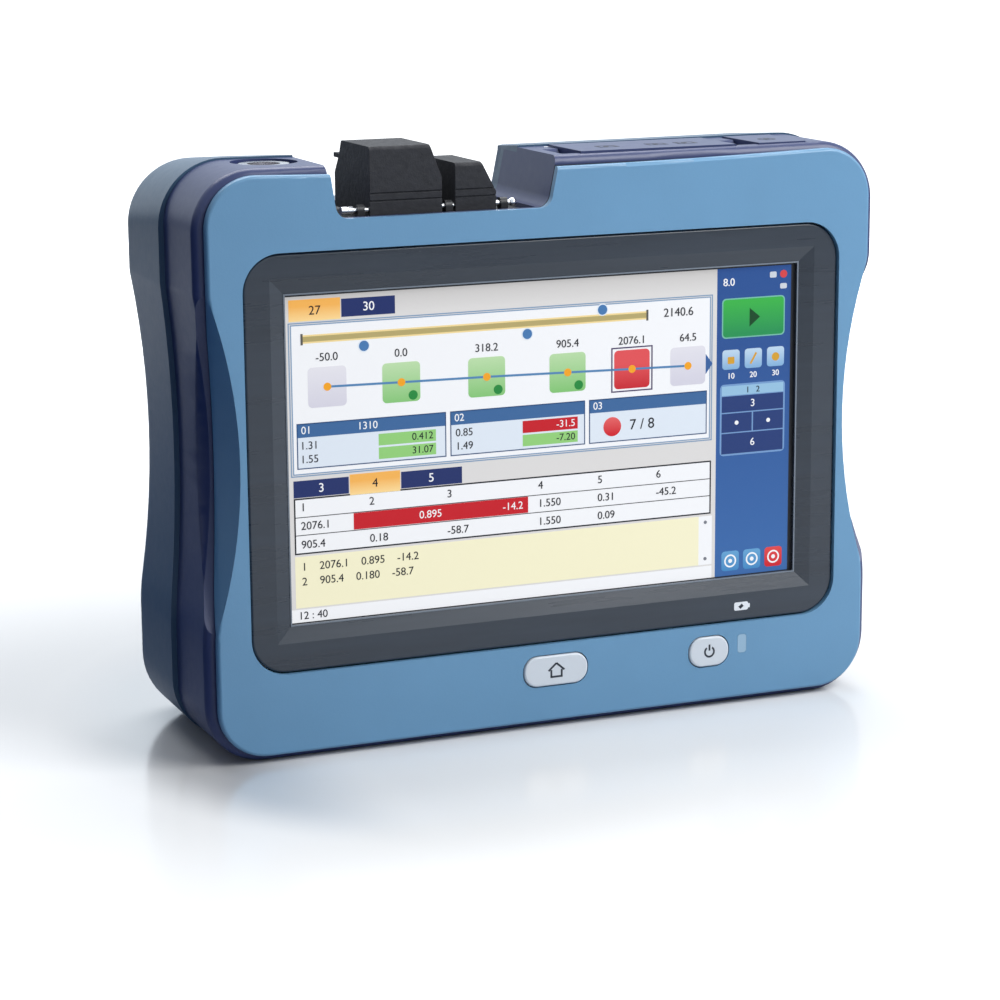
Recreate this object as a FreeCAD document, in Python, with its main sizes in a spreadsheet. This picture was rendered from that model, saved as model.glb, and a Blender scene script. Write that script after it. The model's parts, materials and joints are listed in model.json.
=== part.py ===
import FreeCAD, Part
import os
from math import asin, cos, pi
import Sketcher

# Handheld optical time domain reflectometer, in millimetres.
# X runs to the right, Y to the rear and Z up; the origin is the middle of the footprint.

doc = FreeCAD.newDocument("otdr")
dims = doc.addObject("Spreadsheet::Sheet", "dims")

DRIVING = {
    # casing
    "front_inset": 2.1, "mid_inset": 0.5, "mid_side_inset": 1.5, "seal_inset": 3.0,
    "body_width": 203.0, "body_height": 160.0, "body_depth": 68.0, "corner_radius": 18.0,
    "front_dish_radius": 2350.0, "top_dish_radius": 12000.0, "front_edge_radius": 1.0,
    "rear_edge_radius": 9.6,
    "rear_drop": 3.2, "top_dip": 0.2, "front_side_inset": 4.2, "seal_side_inset": 5.0,
    "waist_depth": 4.0, "waist_half_length": 45.0, "waist_level": 82.0,
    "waist_upper_blend": 9.0, "waist_lower_blend": 60.0,
    "front_seam": 32.0, "seam_bow": 12.0, "seam_gap": 0.6,
    "rear_seam": -4.5, "rear_seam_bow": 5.5, "mid_edge_radius": 2.4,
    "scoop_reach": 7.6, "scoop_overrun": 1.5, "scoop_undercut": 0.3,
    "mid_scoop_reach": 14.2, "mid_scoop_length": 19.0,
    # hollow inside the casing
    "core_width": 177.0, "core_bottom": 5.0, "core_top": 140.7, "core_radius": 6.0,
    "core_rear": 28.0,
    # notch for the connectors
    "notch_left": -63.6, "notch_right": 2.2, "notch_draft": 2.2, "notch_right_draft": 3.0,
    "notch_floor": 145.5, "notch_radius": 3.8, "lining_thick": 2.4, "lining_rear": 4.5,
    "lining_lip": 1.4,
    "flare_reach": 13.0, "flare_start": 9.0,
    # display
    "bezel_width": 175.0, "bezel_height": 112.6, "bezel_level": 80.9, "bezel_radius": 10.0,
    "bezel_front": 33.2, "bezel_thick": 2.6, "bezel_gap": 0.35, "bezel_slope_width": 4.6,
    "bezel_slope_depth": 1.7, "screen_width": 151.4, "screen_height": 88.9, "screen_level": 81.6,
    "glass_thick": 1.1, "glass_margin": 2.0, "panel_width": 164.0, "panel_height": 103.0,
    "panel_thick": 3.4, "bracket_thick": 1.0,
    # buttons
    "button_height": 8.6, "home_width": 19.2, "home_x": 0.3, "button_level": 16.7,
    "power_width": 12.4, "power_x": 47.8, "button_proud": 0.5, "button_gap": 0.3,
    "button_flange": 1.4, "button_travel": 0.8, "membrane_thick": 1.2,
    "led_x": 58.4, "led_level": 17.9, "led_width": 2.8, "led_height": 5.4,
    # connector bay
    "panel_left": -61.0, "panel_right": -3.6, "panel_front": -30.2, "panel_rear": 9.0,
    "panel_top": 144.2, "floor_thick": 2.0,
    "rod_y": -25.4, "rod_level": 146.6, "rod_radius": 0.75, "rod_left": -57.5,
    "rod_right": -8.4, "rod_sleeve_radius": 1.15,
    "rod_sleeve_length": 3.2, "rod_ball_radius": 1.25, "ear_width": 2.0, "ear_radius": 1.5, "cap_wall": 1.2,
    "groove_size": 0.35, "groove_low": 148.7, "groove_high": 150.7, "tab_reach": 4.0,
    "tab_thick": 1.3,
    "cap_bore_gap": 0.06, "knuckle_radius": 1.3,
    "large_cap_left": -49.8, "large_cap_width": 20.6, "large_cap_top": 163.3,
    "large_cap_rear": 1.0, "small_cap_left": -25.4, "small_cap_width": 11.8,
    "small_cap_top": 158.0, "small_cap_rear": -1.5, "cap_bottom": 144.9,
    # power meter port on the left lobe
    "meter_x": -75.0, "meter_y": -14.5, "meter_radius": 9.0, "meter_depth": 4.0,
    "ring_radius": 6.8, "ring_bore": 4.4,
    # service doors on the right lobe
    "door_left": 10.4, "door_width": 47.0, "door_front": -29.0, "door_length": 23.0,
    "door_thick": 2.2, "door_proud": 0.5, "door_gap": 0.35, "door_pin_radius": 0.6,
    "dc_door_left": 64.6, "dc_door_width": 14.6, "finger_width": 7.0, "port_finger_width": 5.2,
    "finger_length": 15.0,
    "finger_depth": 5.0, "bay_floor": 143.0,
    "jack_height": 9.0, "jack_floor": 1.0,
    # back
    "bay_width": 122.0, "bay_height": 66.0, "bay_level": 105.0, "bay_depth": 25.0,
    "lid_width": 138.0, "lid_height": 76.0, "lid_thick": 2.4, "lid_gap": 0.4,
    "lid_corner": 5.6, "lid_edge": 0.7, "lid_screw_x": 65.2, "lid_screw_head": 2.6,
    "lid_screw_radius": 1.2, "lid_screw_grip": 3.0, "lid_screw_sink": 1.5,
    "stand_width": 96.0, "stand_height": 50.0, "stand_top": 60.0, "stand_thick": 3.2,
    "stand_pin_radius": 0.9, "hinge_gap": 0.05,
    "screw_x": 79.0, "screw_low": 17.0, "screw_high": 134.0, "screw_radius": 1.5,
    "screw_head_radius": 3.4, "screw_head_thick": 2.2, "screw_sink": 4.0, "screw_length": 22.0,
    "post_radius": 4.5,
    # inside
    "board_y": -20.0, "board_level": 72.0, "port_y": -11.5, "network_x": 22.0, "usb_x": 37.5,
    "usb_pitch": 9.0, "port_flange_radius": 5.4, "port_flange_thick": 1.6, "port_half_width": 4.6,
    "port_half_length": 3.8, "port_height": 9.5, "port_bore": 2.6, "ferrule_radius": 1.25,
    "ferrule_height": 7.0, "bore_floor": 1.0, "small_flange_radius": 3.8, "small_flange_thick": 1.4,
    "small_barrel_radius": 3.0, "small_barrel_height": 6.5, "dc_sleeve_radius": 4.6,
    "dc_bore": 3.2, "dc_pin_radius": 1.05, "dc_pin_height": 7.5, "main_board_width": 150.0,
    "main_board_height": 104.0, "board_thick": 1.6, "module_width": 92.0, "module_height": 70.0,
    "module_thick": 18.0, "module_x": -16.0, "module_rise": 14.0,
}

for row, (alias, number) in enumerate(DRIVING.items(), start=1):
    dims.set("A%d" % row, alias)
    dims.set("B%d" % row, str(number))
    dims.setAlias("B%d" % row, alias)
doc.recompute()


def number_of(expression):
    """The value that an expression of sheet cells has now."""
    found = dims.evalExpression(expression)
    return float(getattr(found, "Value", found))


def place(thing, x="0", y="0", z="0"):
    for letter, expression in zip("xyz", (x, y, z)):
        thing.setExpression("Placement.Base." + letter, expression)
    return thing


def primitive(kind, label, sizes, x="0", y="0", z="0", turn=None):
    """A Part primitive with its sizes and place bound to the sheet."""
    thing = doc.addObject("Part::" + kind, label)
    if turn:
        axis, angle = turn
        thing.Placement.Rotation = FreeCAD.Rotation(FreeCAD.Vector(*axis), angle)
    for size, expression in sizes.items():
        thing.setExpression(size, expression)
    return place(thing, x, y, z)


def box(label, x, y, z):
    """A box from (low, high) expressions along each axis."""
    sizes = {"Length": f"({x[1]}) - ({x[0]})", "Width": f"({y[1]}) - ({y[0]})",
             "Height": f"({z[1]}) - ({z[0]})"}
    return primitive("Box", label, sizes, x[0], y[0], z[0])


TURNS = {"X": ((0, 1, 0), 90), "Y": ((1, 0, 0), -90), "Z": None}


def rod(label, axis, radius, length, x="0", y="0", z="0"):
    """A cylinder whose axis starts at x, y, z and runs along +axis."""
    sizes = {"Radius": radius, "Height": length}
    return primitive("Cylinder", label, sizes, x, y, z, TURNS[axis])


def fuse(label, *things):
    joined = doc.addObject("Part::MultiFuse", label)
    joined.Shapes = list(things)
    return joined


def common(label, *things):
    shared = doc.addObject("Part::MultiCommon", label)
    shared.Shapes = list(things)
    return shared


def cut(label, base, *tools):
    result = doc.addObject("Part::Cut", label)
    result.Base = base
    result.Tool = tools[0] if len(tools) == 1 else fuse(label + "_tools", *tools)
    return result


def cut_in_turn(label, base, *tools):
    """One cut after another, for tools whose sides touch each other."""
    for count, tool in enumerate(tools, start=1):
        base = cut(label if count == len(tools) else "%s_step_%d" % (label, count), base, tool)
    return base


def new_body(label):
    body = doc.addObject("PartDesign::Body", label)
    body.Label = label
    return body


def new_sketch(body, plane="XZ_Plane"):
    sketch = body.newObject("Sketcher::SketchObject", body.Name + "_sketch")
    origin = [part for part in body.Origin.OriginFeatures if part.Role == plane][0]
    sketch.AttachmentSupport = (origin, [""])
    sketch.MapMode = "FlatFace"
    return sketch


def fix(sketch, kind, *where, to):
    """A sketch dimension that follows an expression of the sheet."""
    index = sketch.addConstraint(Sketcher.Constraint(kind, *where, number_of(to)))
    sketch.setExpression("Constraints[%d]" % index, to)


def draw_polygon(sketch, corners):
    """A closed outline through corners given as pairs of expressions."""
    points = [FreeCAD.Vector(number_of(x), number_of(y), 0) for x, y in corners]
    first = sketch.GeometryCount
    count = len(points)
    for index in range(count):
        sketch.addGeometry(Part.LineSegment(points[index], points[(index + 1) % count]), False)
    for index, (x, y) in enumerate(corners):
        line, following = first + index, first + (index + 1) % count
        sketch.addConstraint(Sketcher.Constraint("Coincident", line, 2, following, 1))
        fix(sketch, "DistanceX", -1, 1, line, 1, to=x)
        fix(sketch, "DistanceY", -1, 1, line, 1, to=y)


def draw_circle(sketch, x, y, radius):
    centre = FreeCAD.Vector(number_of(x), number_of(y), 0)
    circle = sketch.addGeometry(Part.Circle(centre, FreeCAD.Vector(0, 0, 1), number_of(radius)), False)
    fix(sketch, "DistanceX", -1, 1, circle, 3, to=x)
    fix(sketch, "DistanceY", -1, 1, circle, 3, to=y)
    fix(sketch, "Radius", circle, to=radius)


def draw_rounded_rectangle(sketch, width, height, radius):
    """A rectangle with round corners, centred on the sketch's origin."""
    half_width, half_height = number_of(width) / 2, number_of(height) / 2
    corner = number_of(radius)
    inner_x, inner_y = half_width - corner, half_height - corner
    vector = FreeCAD.Vector
    up = vector(0, 0, 1)
    quarter = 1.5707963267948966
    sides = [(vector(-inner_x, -half_height), vector(inner_x, -half_height)),
             (vector(half_width, -inner_y), vector(half_width, inner_y)),
             (vector(inner_x, half_height), vector(-inner_x, half_height)),
             (vector(-half_width, inner_y), vector(-half_width, -inner_y))]
    centres = [vector(inner_x, -inner_y), vector(inner_x, inner_y),
               vector(-inner_x, inner_y), vector(-inner_x, -inner_y)]
    lines, arcs = [], []
    for turn, (side, centre) in enumerate(zip(sides, centres)):
        lines.append(sketch.addGeometry(Part.LineSegment(*side), False))
        circle = Part.Circle(centre, up, corner)
        start = (turn - 1) * quarter
        arcs.append(sketch.addGeometry(Part.ArcOfCircle(circle, start, start + quarter), False))
    for turn in range(4):
        sketch.addConstraint(Sketcher.Constraint("Tangent", lines[turn], 2, arcs[turn], 1))
        sketch.addConstraint(Sketcher.Constraint("Tangent", arcs[turn], 2, lines[(turn + 1) % 4], 1))
        direction = "Horizontal" if turn % 2 == 0 else "Vertical"
        sketch.addConstraint(Sketcher.Constraint(direction, lines[turn]))
    for turn in range(3):
        sketch.addConstraint(Sketcher.Constraint("Equal", arcs[turn], arcs[turn + 1]))
    sketch.addConstraint(Sketcher.Constraint("Symmetric", arcs[0], 3, arcs[2], 3, -1, 1))
    fix(sketch, "Radius", arcs[0], to=radius)
    fix(sketch, "DistanceX", lines[3], 1, lines[1], 1, to=width)
    fix(sketch, "DistanceY", lines[0], 1, lines[2], 1, to=height)


def pad(body, sketch, length, both_ways=False, rearwards=True):
    """Pads a sketch; one on the XZ plane grows to the rear, one on XY upwards."""
    feature = body.newObject("PartDesign::Pad", body.Name + "_pad")
    feature.Profile = sketch
    feature.setExpression("Length", length)
    feature.Midplane = both_ways
    front_plane = sketch.AttachmentSupport[0][0].Role == "XZ_Plane"
    feature.Reversed = front_plane and rearwards
    body.Tip = feature
    doc.recompute()
    return feature


def edge_names(feature, chosen):
    return ["Edge%d" % (index + 1) for index, edge in enumerate(feature.Shape.Edges) if chosen(edge)]


def dress(body, kind, feature, chosen, size):
    """A Fillet or a Chamfer on the chosen edges of a feature."""
    dressed = body.newObject("PartDesign::" + kind, "%s_%s" % (body.Name, kind.lower()))
    dressed.Base = (feature, edge_names(feature, chosen))
    dressed.setExpression("Radius" if kind == "Fillet" else "Size", size)
    body.Tip = dressed
    doc.recompute()
    return dressed


def lies_at(axis, value):
    """A test for edges that lie wholly in a plane across an axis."""
    low, high = axis.upper() + "Min", axis.upper() + "Max"

    def test(edge):
        bounds = edge.BoundBox
        return abs(getattr(bounds, low) - value) < 1e-3 and abs(getattr(bounds, high) - value) < 1e-3
    return test


def runs_along(axis):
    """A test for straight edges that run along an axis."""
    def test(edge):
        bounds = edge.BoundBox
        spans = {"x": bounds.XLength, "y": bounds.YLength, "z": bounds.ZLength}
        return len(edge.Vertexes) == 2 and all(
            (spans[letter] > 1e-3) == (letter == axis) for letter in "xyz")
    return test


def rounded_slab(label, width, height, radius, thick, x="0", y="0", z="0", plane="XZ_Plane"):
    body = new_body(label)
    sketch = new_sketch(body, plane)
    draw_rounded_rectangle(sketch, width, height, radius)
    pad(body, sketch, thick)
    return place(body, x, y, z)


def draw_casing_outline(sketch, side, low, high, dish_radius, corner_radius):
    """The casing seen from the front: straight base, round corners, faintly dished top."""
    corner = number_of(corner_radius)
    dish = number_of(dish_radius)
    reach, base, crest = number_of(side), number_of(low), number_of(high)
    inner = reach - corner
    vector = FreeCAD.Vector
    up = vector(0, 0, 1)
    lean = asin(inner / (dish + corner))
    centre_high = vector(0, crest - corner + (dish + corner) * cos(lean))
    base_line = sketch.addGeometry(Part.LineSegment(vector(-inner, base), vector(inner, base)), False)
    sides, arcs = [], []
    spots = [(inner, base + corner, -pi / 2, 0), (inner, crest - corner, 0, pi / 2 + lean),
             (-inner, crest - corner, pi / 2 - lean, pi), (-inner, base + corner, pi, 1.5 * pi)]
    for x, y, start, end in spots:
        circle = Part.Circle(vector(x, y), up, corner)
        arcs.append(sketch.addGeometry(Part.ArcOfCircle(circle, start, end), False))
    for x, start, end in ((reach, base + corner, crest - corner), (-reach, crest - corner, base + corner)):
        sides.append(sketch.addGeometry(Part.LineSegment(vector(x, start), vector(x, end)), False))
    top = sketch.addGeometry(Part.ArcOfCircle(Part.Circle(centre_high, up, dish),
                                              1.5 * pi - lean, 1.5 * pi + lean), False)
    joints = [(base_line, 2, arcs[0], 1), (arcs[0], 2, sides[0], 1), (sides[0], 2, arcs[1], 1),
              (arcs[1], 2, top, 2), (top, 1, arcs[2], 1), (arcs[2], 2, sides[1], 1),
              (sides[1], 2, arcs[3], 1), (arcs[3], 2, base_line, 1)]
    for joint in joints:
        sketch.addConstraint(Sketcher.Constraint("Tangent", *joint))
    for line in sides:
        sketch.addConstraint(Sketcher.Constraint("Vertical", line))
    for turn in range(3):
        sketch.addConstraint(Sketcher.Constraint("Equal", arcs[turn], arcs[turn + 1]))
    sketch.addConstraint(Sketcher.Constraint("Symmetric", arcs[0], 3, arcs[3], 3, -2))
    sketch.addConstraint(Sketcher.Constraint("Horizontal", arcs[1], 3, arcs[2], 3))
    fix(sketch, "Radius", arcs[0], to=corner_radius)
    fix(sketch, "Radius", top, to=dish_radius)
    fix(sketch, "DistanceX", -1, 1, arcs[0], 3, to=f"{side} - ({corner_radius})")
    fix(sketch, "DistanceY", -1, 1, arcs[0], 3, to=f"{low} + {corner_radius}")
    fix(sketch, "DistanceY", -1, 1, arcs[1], 3, to=f"{high} - ({corner_radius})")


def casing_form(label, inset, side_inset, front, rear, front_radius=None, rear_radius=None,
                rear_drop=None, dish="dims.top_dish_radius", base=None):
    """A stretch of the waisted casing from front to rear, drawn in from the full outline."""
    body = new_body(label)
    low = base or inset
    side = f"dims.body_width / 2 - ({side_inset})"
    crest = f"dims.body_height - ({inset})"
    corner = f"dims.corner_radius - ({side_inset})"
    length = f"({rear}) - ({front})"
    sketch = new_sketch(body)
    draw_casing_outline(sketch, side, low, crest, dish, corner)
    if rear_drop:
        back = new_sketch(body)
        back.setExpression("AttachmentOffset.Base.z", f"-({length})")
        draw_casing_outline(back, side, low, f"{crest} - {rear_drop}", dish, corner)
        block = body.newObject("PartDesign::AdditiveLoft", label + "_loft")
        block.Profile = sketch
        block.Sections = [back]
        block.Ruled = True
        body.Tip = block
        doc.recompute()
    else:
        block = pad(body, sketch, length)
    chord, rise = "dims.waist_half_length", "dims.waist_depth"
    curve = f"(({chord})^2 + ({rise})^2) / (2 * ({rise}))"
    waist = new_sketch(body)
    draw_circle(waist, f"{side} - {rise} + {curve}", "dims.waist_level", curve)
    pinch = body.newObject("PartDesign::Pocket", label + "_waist")
    pinch.Profile = waist
    pinch.Type = "ThroughAll"
    pinch.Midplane = True
    doc.recompute()
    mirror = body.newObject("PartDesign::Mirrored", label + "_mirror")
    mirror.Originals = [pinch]
    plane = [part for part in body.Origin.OriginFeatures if part.Role == "YZ_Plane"][0]
    mirror.MirrorPlane = (plane, [""])
    body.Tip = mirror
    doc.recompute()
    if mirror.Shape.Volume >= block.Shape.Volume:
        raise RuntimeError(label + ": the waist cut nothing")
    reach = number_of(side)

    def at_side(edge):
        return runs_along("y")(edge) and abs(abs(edge.BoundBox.XMax) - reach) < 1e-3
    levels = sorted({round(edge.BoundBox.ZMin, 3) for edge in mirror.Shape.Edges if at_side(edge)})

    def kink(level):
        return lambda edge: at_side(edge) and abs(edge.BoundBox.ZMin - level) < 2e-3
    tip = dress(body, "Fillet", mirror, kink(levels[1]), "dims.waist_lower_blend")
    tip = dress(body, "Fillet", tip, kink(levels[2]), "dims.waist_upper_blend")
    if rear_radius:
        tip = dress(body, "Fillet", tip, lies_at("y", number_of(length)), rear_radius)
    if front_radius:
        tip = dress(body, "Fillet", tip, lies_at("y", 0.0), front_radius)
    return place(body, y=front)


# ---- parting tools shared by the casings

def seam_zone(label, seam, rise):
    """All that lies ahead of a parting surface, which bows back at the waist."""
    chord = "dims.waist_half_length"
    curve = f"(({chord})^2 + ({rise})^2) / (2 * ({rise}))"
    ahead = box(label + "_slab", ("-120", "120"), ("-60", seam), ("-20", "200"))
    bow = rod(label + "_bow", "X", curve, "240", x="-120", z="dims.waist_level",
              y=f"{seam} + {rise} - {curve}")
    return fuse(label, ahead, bow)


def scoop(label, side, edge, bite, deep_bite, front, depth):
    """A cone that bites a thumb scoop out of one side, less deeply towards the rear."""
    chord = "dims.waist_half_length"
    wide = f"(({chord})^2 + ({bite})^2) / (2 * ({bite}))"
    centre = f"{edge} - ({bite}) + {wide}"
    sizes = {"Radius1": wide, "Radius2": f"{wide} - ({bite}) + {deep_bite}", "Height": depth}
    return primitive("Cone", label, sizes, x=f"{side} * ({centre})", y=front,
                     z="dims.waist_level", turn=TURNS["Y"])


def across_depth(label, corners, front="-60", length="120"):
    """An outline in X and Z carried through the depth."""
    body = new_body(label)
    sketch = new_sketch(body)
    draw_polygon(sketch, corners)
    pad(body, sketch, length)
    return place(body, y=front)


notch_above = "20"


def notch_outline(grow):
    """The notch's section, widened and deepened all round by grow."""
    depth = "(dims.body_height - dims.notch_floor)"
    left, right = f"dims.notch_left - {grow}", f"dims.notch_right + {grow}"
    crest = f"dims.body_height + {notch_above}"
    return [(f"{left} + dims.notch_draft", f"dims.notch_floor - {grow}"),
            (f"{right} - dims.notch_right_draft", f"dims.notch_floor - {grow}"),
            (f"{right} + dims.notch_right_draft / {depth} * {notch_above}", crest),
            (f"{left} - dims.notch_draft / {depth} * {notch_above}", crest)]


notch = across_depth("notch_form", notch_outline("0"))
floor_level = number_of("dims.notch_floor")
dress(notch, "Fillet", notch.Tip,
      lambda edge: runs_along("y")(edge) and abs(edge.BoundBox.ZMin - floor_level) < 1e-3,
      "dims.notch_radius")

core_height = "dims.core_top - dims.core_bottom"
core_level = "(dims.core_top + dims.core_bottom) / 2"
core_front = rounded_slab("front_hollow", "dims.core_width", core_height, "dims.core_radius",
                          "dims.front_seam + 8", y="-dims.front_seam", z=core_level)
core_back = rounded_slab("rear_hollow", "dims.core_width", core_height, "dims.core_radius",
                         "dims.core_rear - dims.rear_seam", y="dims.rear_seam", z=core_level)
zone = seam_zone("front_zone", "-dims.front_seam", "dims.seam_bow")
deep_zone = seam_zone("front_zone_and_gap", "-dims.front_seam + dims.seam_gap", "dims.seam_bow")
middle_zone = seam_zone("middle_zone", "dims.rear_seam", "dims.rear_seam_bow")

# ---- front shell

front_form = casing_form("front_form", "dims.front_inset", "dims.front_side_inset",
                         "-dims.body_depth / 2", "-dims.front_seam + dims.seam_bow + 2",
                         "dims.front_edge_radius", dish="dims.front_dish_radius")
window = rounded_slab("display_window", "dims.bezel_width + 2 * dims.bezel_gap",
                      "dims.bezel_height + 2 * dims.bezel_gap", "dims.bezel_radius + dims.bezel_gap",
                      "20", y="-dims.body_depth / 2 - 5", z="dims.bezel_level")


def button_hole(label, width, x):
    gap = "2 * dims.button_gap"
    height = f"dims.button_height + {gap}"
    return rounded_slab(label, f"{width} + {gap}", height, f"({height}) * 0.46", "20",
                        x=x, y="-dims.body_depth / 2 - 5", z="dims.button_level")


home_hole = button_hole("home_hole", "dims.home_width", "dims.home_x")
power_hole = button_hole("power_hole", "dims.power_width", "dims.power_x")
led_hole = rounded_slab("led_hole", "dims.led_width", "dims.led_height", "dims.led_width * 0.3",
                        "20", x="dims.led_x", y="-dims.body_depth / 2 - 5", z="dims.led_level")
front_blank = common("front_blank", front_form, zone)
front_edge = "dims.body_width / 2 - dims.front_side_inset"
scoop_depth = "dims.body_depth / 2 - dims.front_seam + dims.seam_bow + dims.scoop_overrun"
front_scoops = [scoop("front_scoop_%d" % count, side, front_edge, "dims.scoop_reach",
                      "dims.waist_depth + dims.scoop_undercut", "-dims.body_depth / 2", scoop_depth)
                for count, side in enumerate((-1, 1))]
front_shell = cut("front_shell", front_blank, core_front, window, notch, home_hole, power_hole,
                  led_hole, *front_scoops)

# ---- front seam seal

seal_form = casing_form("seal_form", "dims.seal_inset", "dims.seal_side_inset", "-dims.front_seam - 1",
                        "-dims.front_seam + dims.seam_bow + 3")
seal_blank = common("seal_blank", seal_form, deep_zone)
housing_seal = cut("housing_seal", seal_blank, zone, core_front, notch)

# ---- service bays in the lobes, shared by the housings

body_top = "dims.body_height - dims.mid_inset - dims.top_dip"
door_top = f"{body_top} + dims.door_proud"
door_bottom = f"{door_top} - dims.door_thick"
door_rear = "dims.door_front + dims.door_length"
door_right = "dims.door_left + dims.door_width"
dc_door_right = "dims.dc_door_left + dims.dc_door_width"


def door_recess(label, left, right):
    gap = "dims.door_gap"
    return box(label, (f"{left} - {gap}", f"{right} + {gap}"),
               (f"dims.door_front - {gap}", f"{door_rear} + {gap}"),
               (f"{door_bottom} - 0.3", "180"))


def finger_recess(label, right, width):
    """A rounded scoop beside a door, for a fingernail."""
    body = new_body(label)
    sketch = new_sketch(body, "YZ_Plane")
    front, rear = "dims.door_front", "dims.door_front + dims.finger_length"
    draw_polygon(sketch, [(f"{front} + dims.finger_depth * 0.5", f"{body_top} - dims.finger_depth"),
                          (f"{rear} - dims.finger_depth", f"{body_top} - dims.finger_depth"),
                          (f"{rear} + dims.finger_depth", f"{body_top} + dims.finger_depth"),
                          (front, f"{body_top} + dims.finger_depth")])
    pad(body, sketch, width)
    return place(body, x=f"{right} - {width} + 0.1")


port_recess = door_recess("port_recess", "dims.door_left", door_right)
dc_recess = door_recess("dc_recess", "dims.dc_door_left", dc_door_right)
port_fingers = finger_recess("port_fingers", "dims.door_left", "dims.port_finger_width")
dc_fingers = finger_recess("dc_fingers", "dims.dc_door_left", "dims.finger_width")
port_bay = box("port_bay", ("dims.door_left + 2", f"{door_right} - 2"),
               ("dims.door_front + 2", f"{door_rear} - 4.5"), ("dims.bay_floor", "180"))
dc_bay = box("dc_bay", ("dims.dc_door_left + 1.6", f"{dc_door_right} - 1.6"),
             ("dims.door_front + 2", f"{door_rear} - 4.5"), ("dims.bay_floor", "180"))
pin_y = f"{door_rear} - dims.door_thick / 2"
pin_level = f"{door_top} - dims.door_thick / 2"
pin_reach = "1.5"


def door_pin(label, left, right):
    return rod(label, "X", "dims.door_pin_radius", f"{right} - ({left}) + 2 * {pin_reach}",
               x=f"{left} - {pin_reach}", y=pin_y, z=pin_level)


port_door_pin = door_pin("port_door_pin", "dims.door_left", door_right)
dc_door_pin = door_pin("dc_door_pin", "dims.dc_door_left", dc_door_right)
meter_well = rod("meter_well", "Z", "dims.meter_radius", "30", x="dims.meter_x", y="dims.meter_y",
                 z=f"{body_top} - dims.meter_depth")
rear_flare = doc.addObject("Part::Wedge", "rear_flare")
for name, expression in {
        "Xmin": "dims.notch_left + 0.5", "Xmax": "dims.notch_right - 0.5",
        "X2min": "dims.notch_left - dims.flare_reach", "X2max": "dims.notch_right + dims.flare_reach",
        "Zmin": "dims.notch_floor", "Z2min": "dims.notch_floor - 1.6", "Zmax": "200", "Z2max": "200",
        "Ymin": "dims.flare_start", "Ymax": "dims.body_depth / 2 + 2"}.items():
    rear_flare.setExpression(name, expression)
connector_recess = box("connector_recess", ("dims.panel_left", "dims.panel_right"),
                       ("dims.panel_front", "dims.panel_rear"),
                       ("dims.panel_top - dims.floor_thick", "dims.notch_floor + 1"))

# ---- middle housing

mid_block = casing_form("mid_block", "dims.mid_inset", "dims.mid_side_inset",
                        "-dims.front_seam + dims.seam_gap", "dims.rear_seam + dims.rear_seam_bow + 2",
                        "dims.mid_edge_radius", base="0")
mid_form = common("mid_form", mid_block, middle_zone)
lining_root = "3"
lining_zone = across_depth("lining_zone", notch_outline("dims.lining_thick"),
                           front=f"dims.rear_seam - {lining_root}",
                           length=f"dims.lining_rear - dims.rear_seam + {lining_root}")
under_lip = box("under_lip", ("dims.notch_left - 20", "dims.notch_right + 20"), ("-40", "40"),
                ("100", f"{body_top} - dims.lining_lip"))
lining = common("notch_lining", lining_zone, under_lip)
mid_edge = "dims.body_width / 2 - dims.mid_side_inset"
mid_scoops = [scoop("mid_scoop_%d" % count, side, mid_edge, "dims.mid_scoop_reach",
                    "dims.waist_depth", "-dims.body_depth / 2", "dims.mid_scoop_length")
              for count, side in enumerate((-1, 1))]
mid_ring = cut("mid_ring", fuse("mid_blank", mid_form, lining), deep_zone, core_front, notch,
               connector_recess)
mid_housing = cut_in_turn("mid_housing", mid_ring, port_recess, dc_recess, port_fingers, dc_fingers,
                          port_bay, dc_bay, port_door_pin, dc_door_pin, meter_well, *mid_scoops)

# ---- rear housing, with the battery bay, the stand's recess and the screw posts

rear_y = "dims.body_depth / 2"
rear_block = casing_form("rear_block", "0", "0", "dims.rear_seam", rear_y,
                         rear_radius="dims.rear_edge_radius", rear_drop="dims.rear_drop")
rear_form = cut("rear_form", rear_block, middle_zone)
bay_rear = f"{rear_y} - dims.lid_thick"
bay_wall = "2"
bay = rounded_slab("battery_bay", "dims.bay_width", "dims.bay_height", "3", "dims.bay_depth",
                   y=f"{bay_rear} - dims.bay_depth", z="dims.bay_level")
bay_shell = rounded_slab("bay_shell", f"dims.bay_width + 2 * {bay_wall}",
                         f"dims.bay_height + 2 * {bay_wall}", "4", f"dims.bay_depth + {bay_wall}",
                         y=f"{bay_rear} - dims.bay_depth - {bay_wall}", z="dims.bay_level")
lid_recess = rounded_slab("lid_recess", "dims.lid_width + 2 * dims.lid_gap",
                          "dims.lid_height + 2 * dims.lid_gap", "6", "10", y=bay_rear,
                          z="dims.bay_level")
stand_level = "dims.stand_top - dims.stand_height / 2"
stand_recess = rounded_slab("stand_recess", "dims.stand_width + 2 * dims.lid_gap",
                            "dims.stand_height + 2 * dims.lid_gap", "3", "10",
                            y=f"{rear_y} - dims.stand_thick - 0.5", z=stand_level)
stand_fingers = rod("stand_fingers", "Y", "6", "10", y=f"{rear_y} - dims.stand_thick - 0.5",
                    z="dims.stand_top - dims.stand_height")
stand_pin_y = f"{rear_y} - dims.stand_thick / 2"
stand_pin_level = "dims.stand_top - dims.stand_thick / 2"
stand_pin = rod("stand_pin", "X", "dims.stand_pin_radius", "dims.stand_width + 6",
                x="-dims.stand_width / 2 - 3", y=stand_pin_y, z=stand_pin_level)
post_places = [(side, level) for side in (-1, 1) for level in ("dims.screw_low", "dims.screw_high")]
posts, screw_wells, screw_bores = [], [], []
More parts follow.
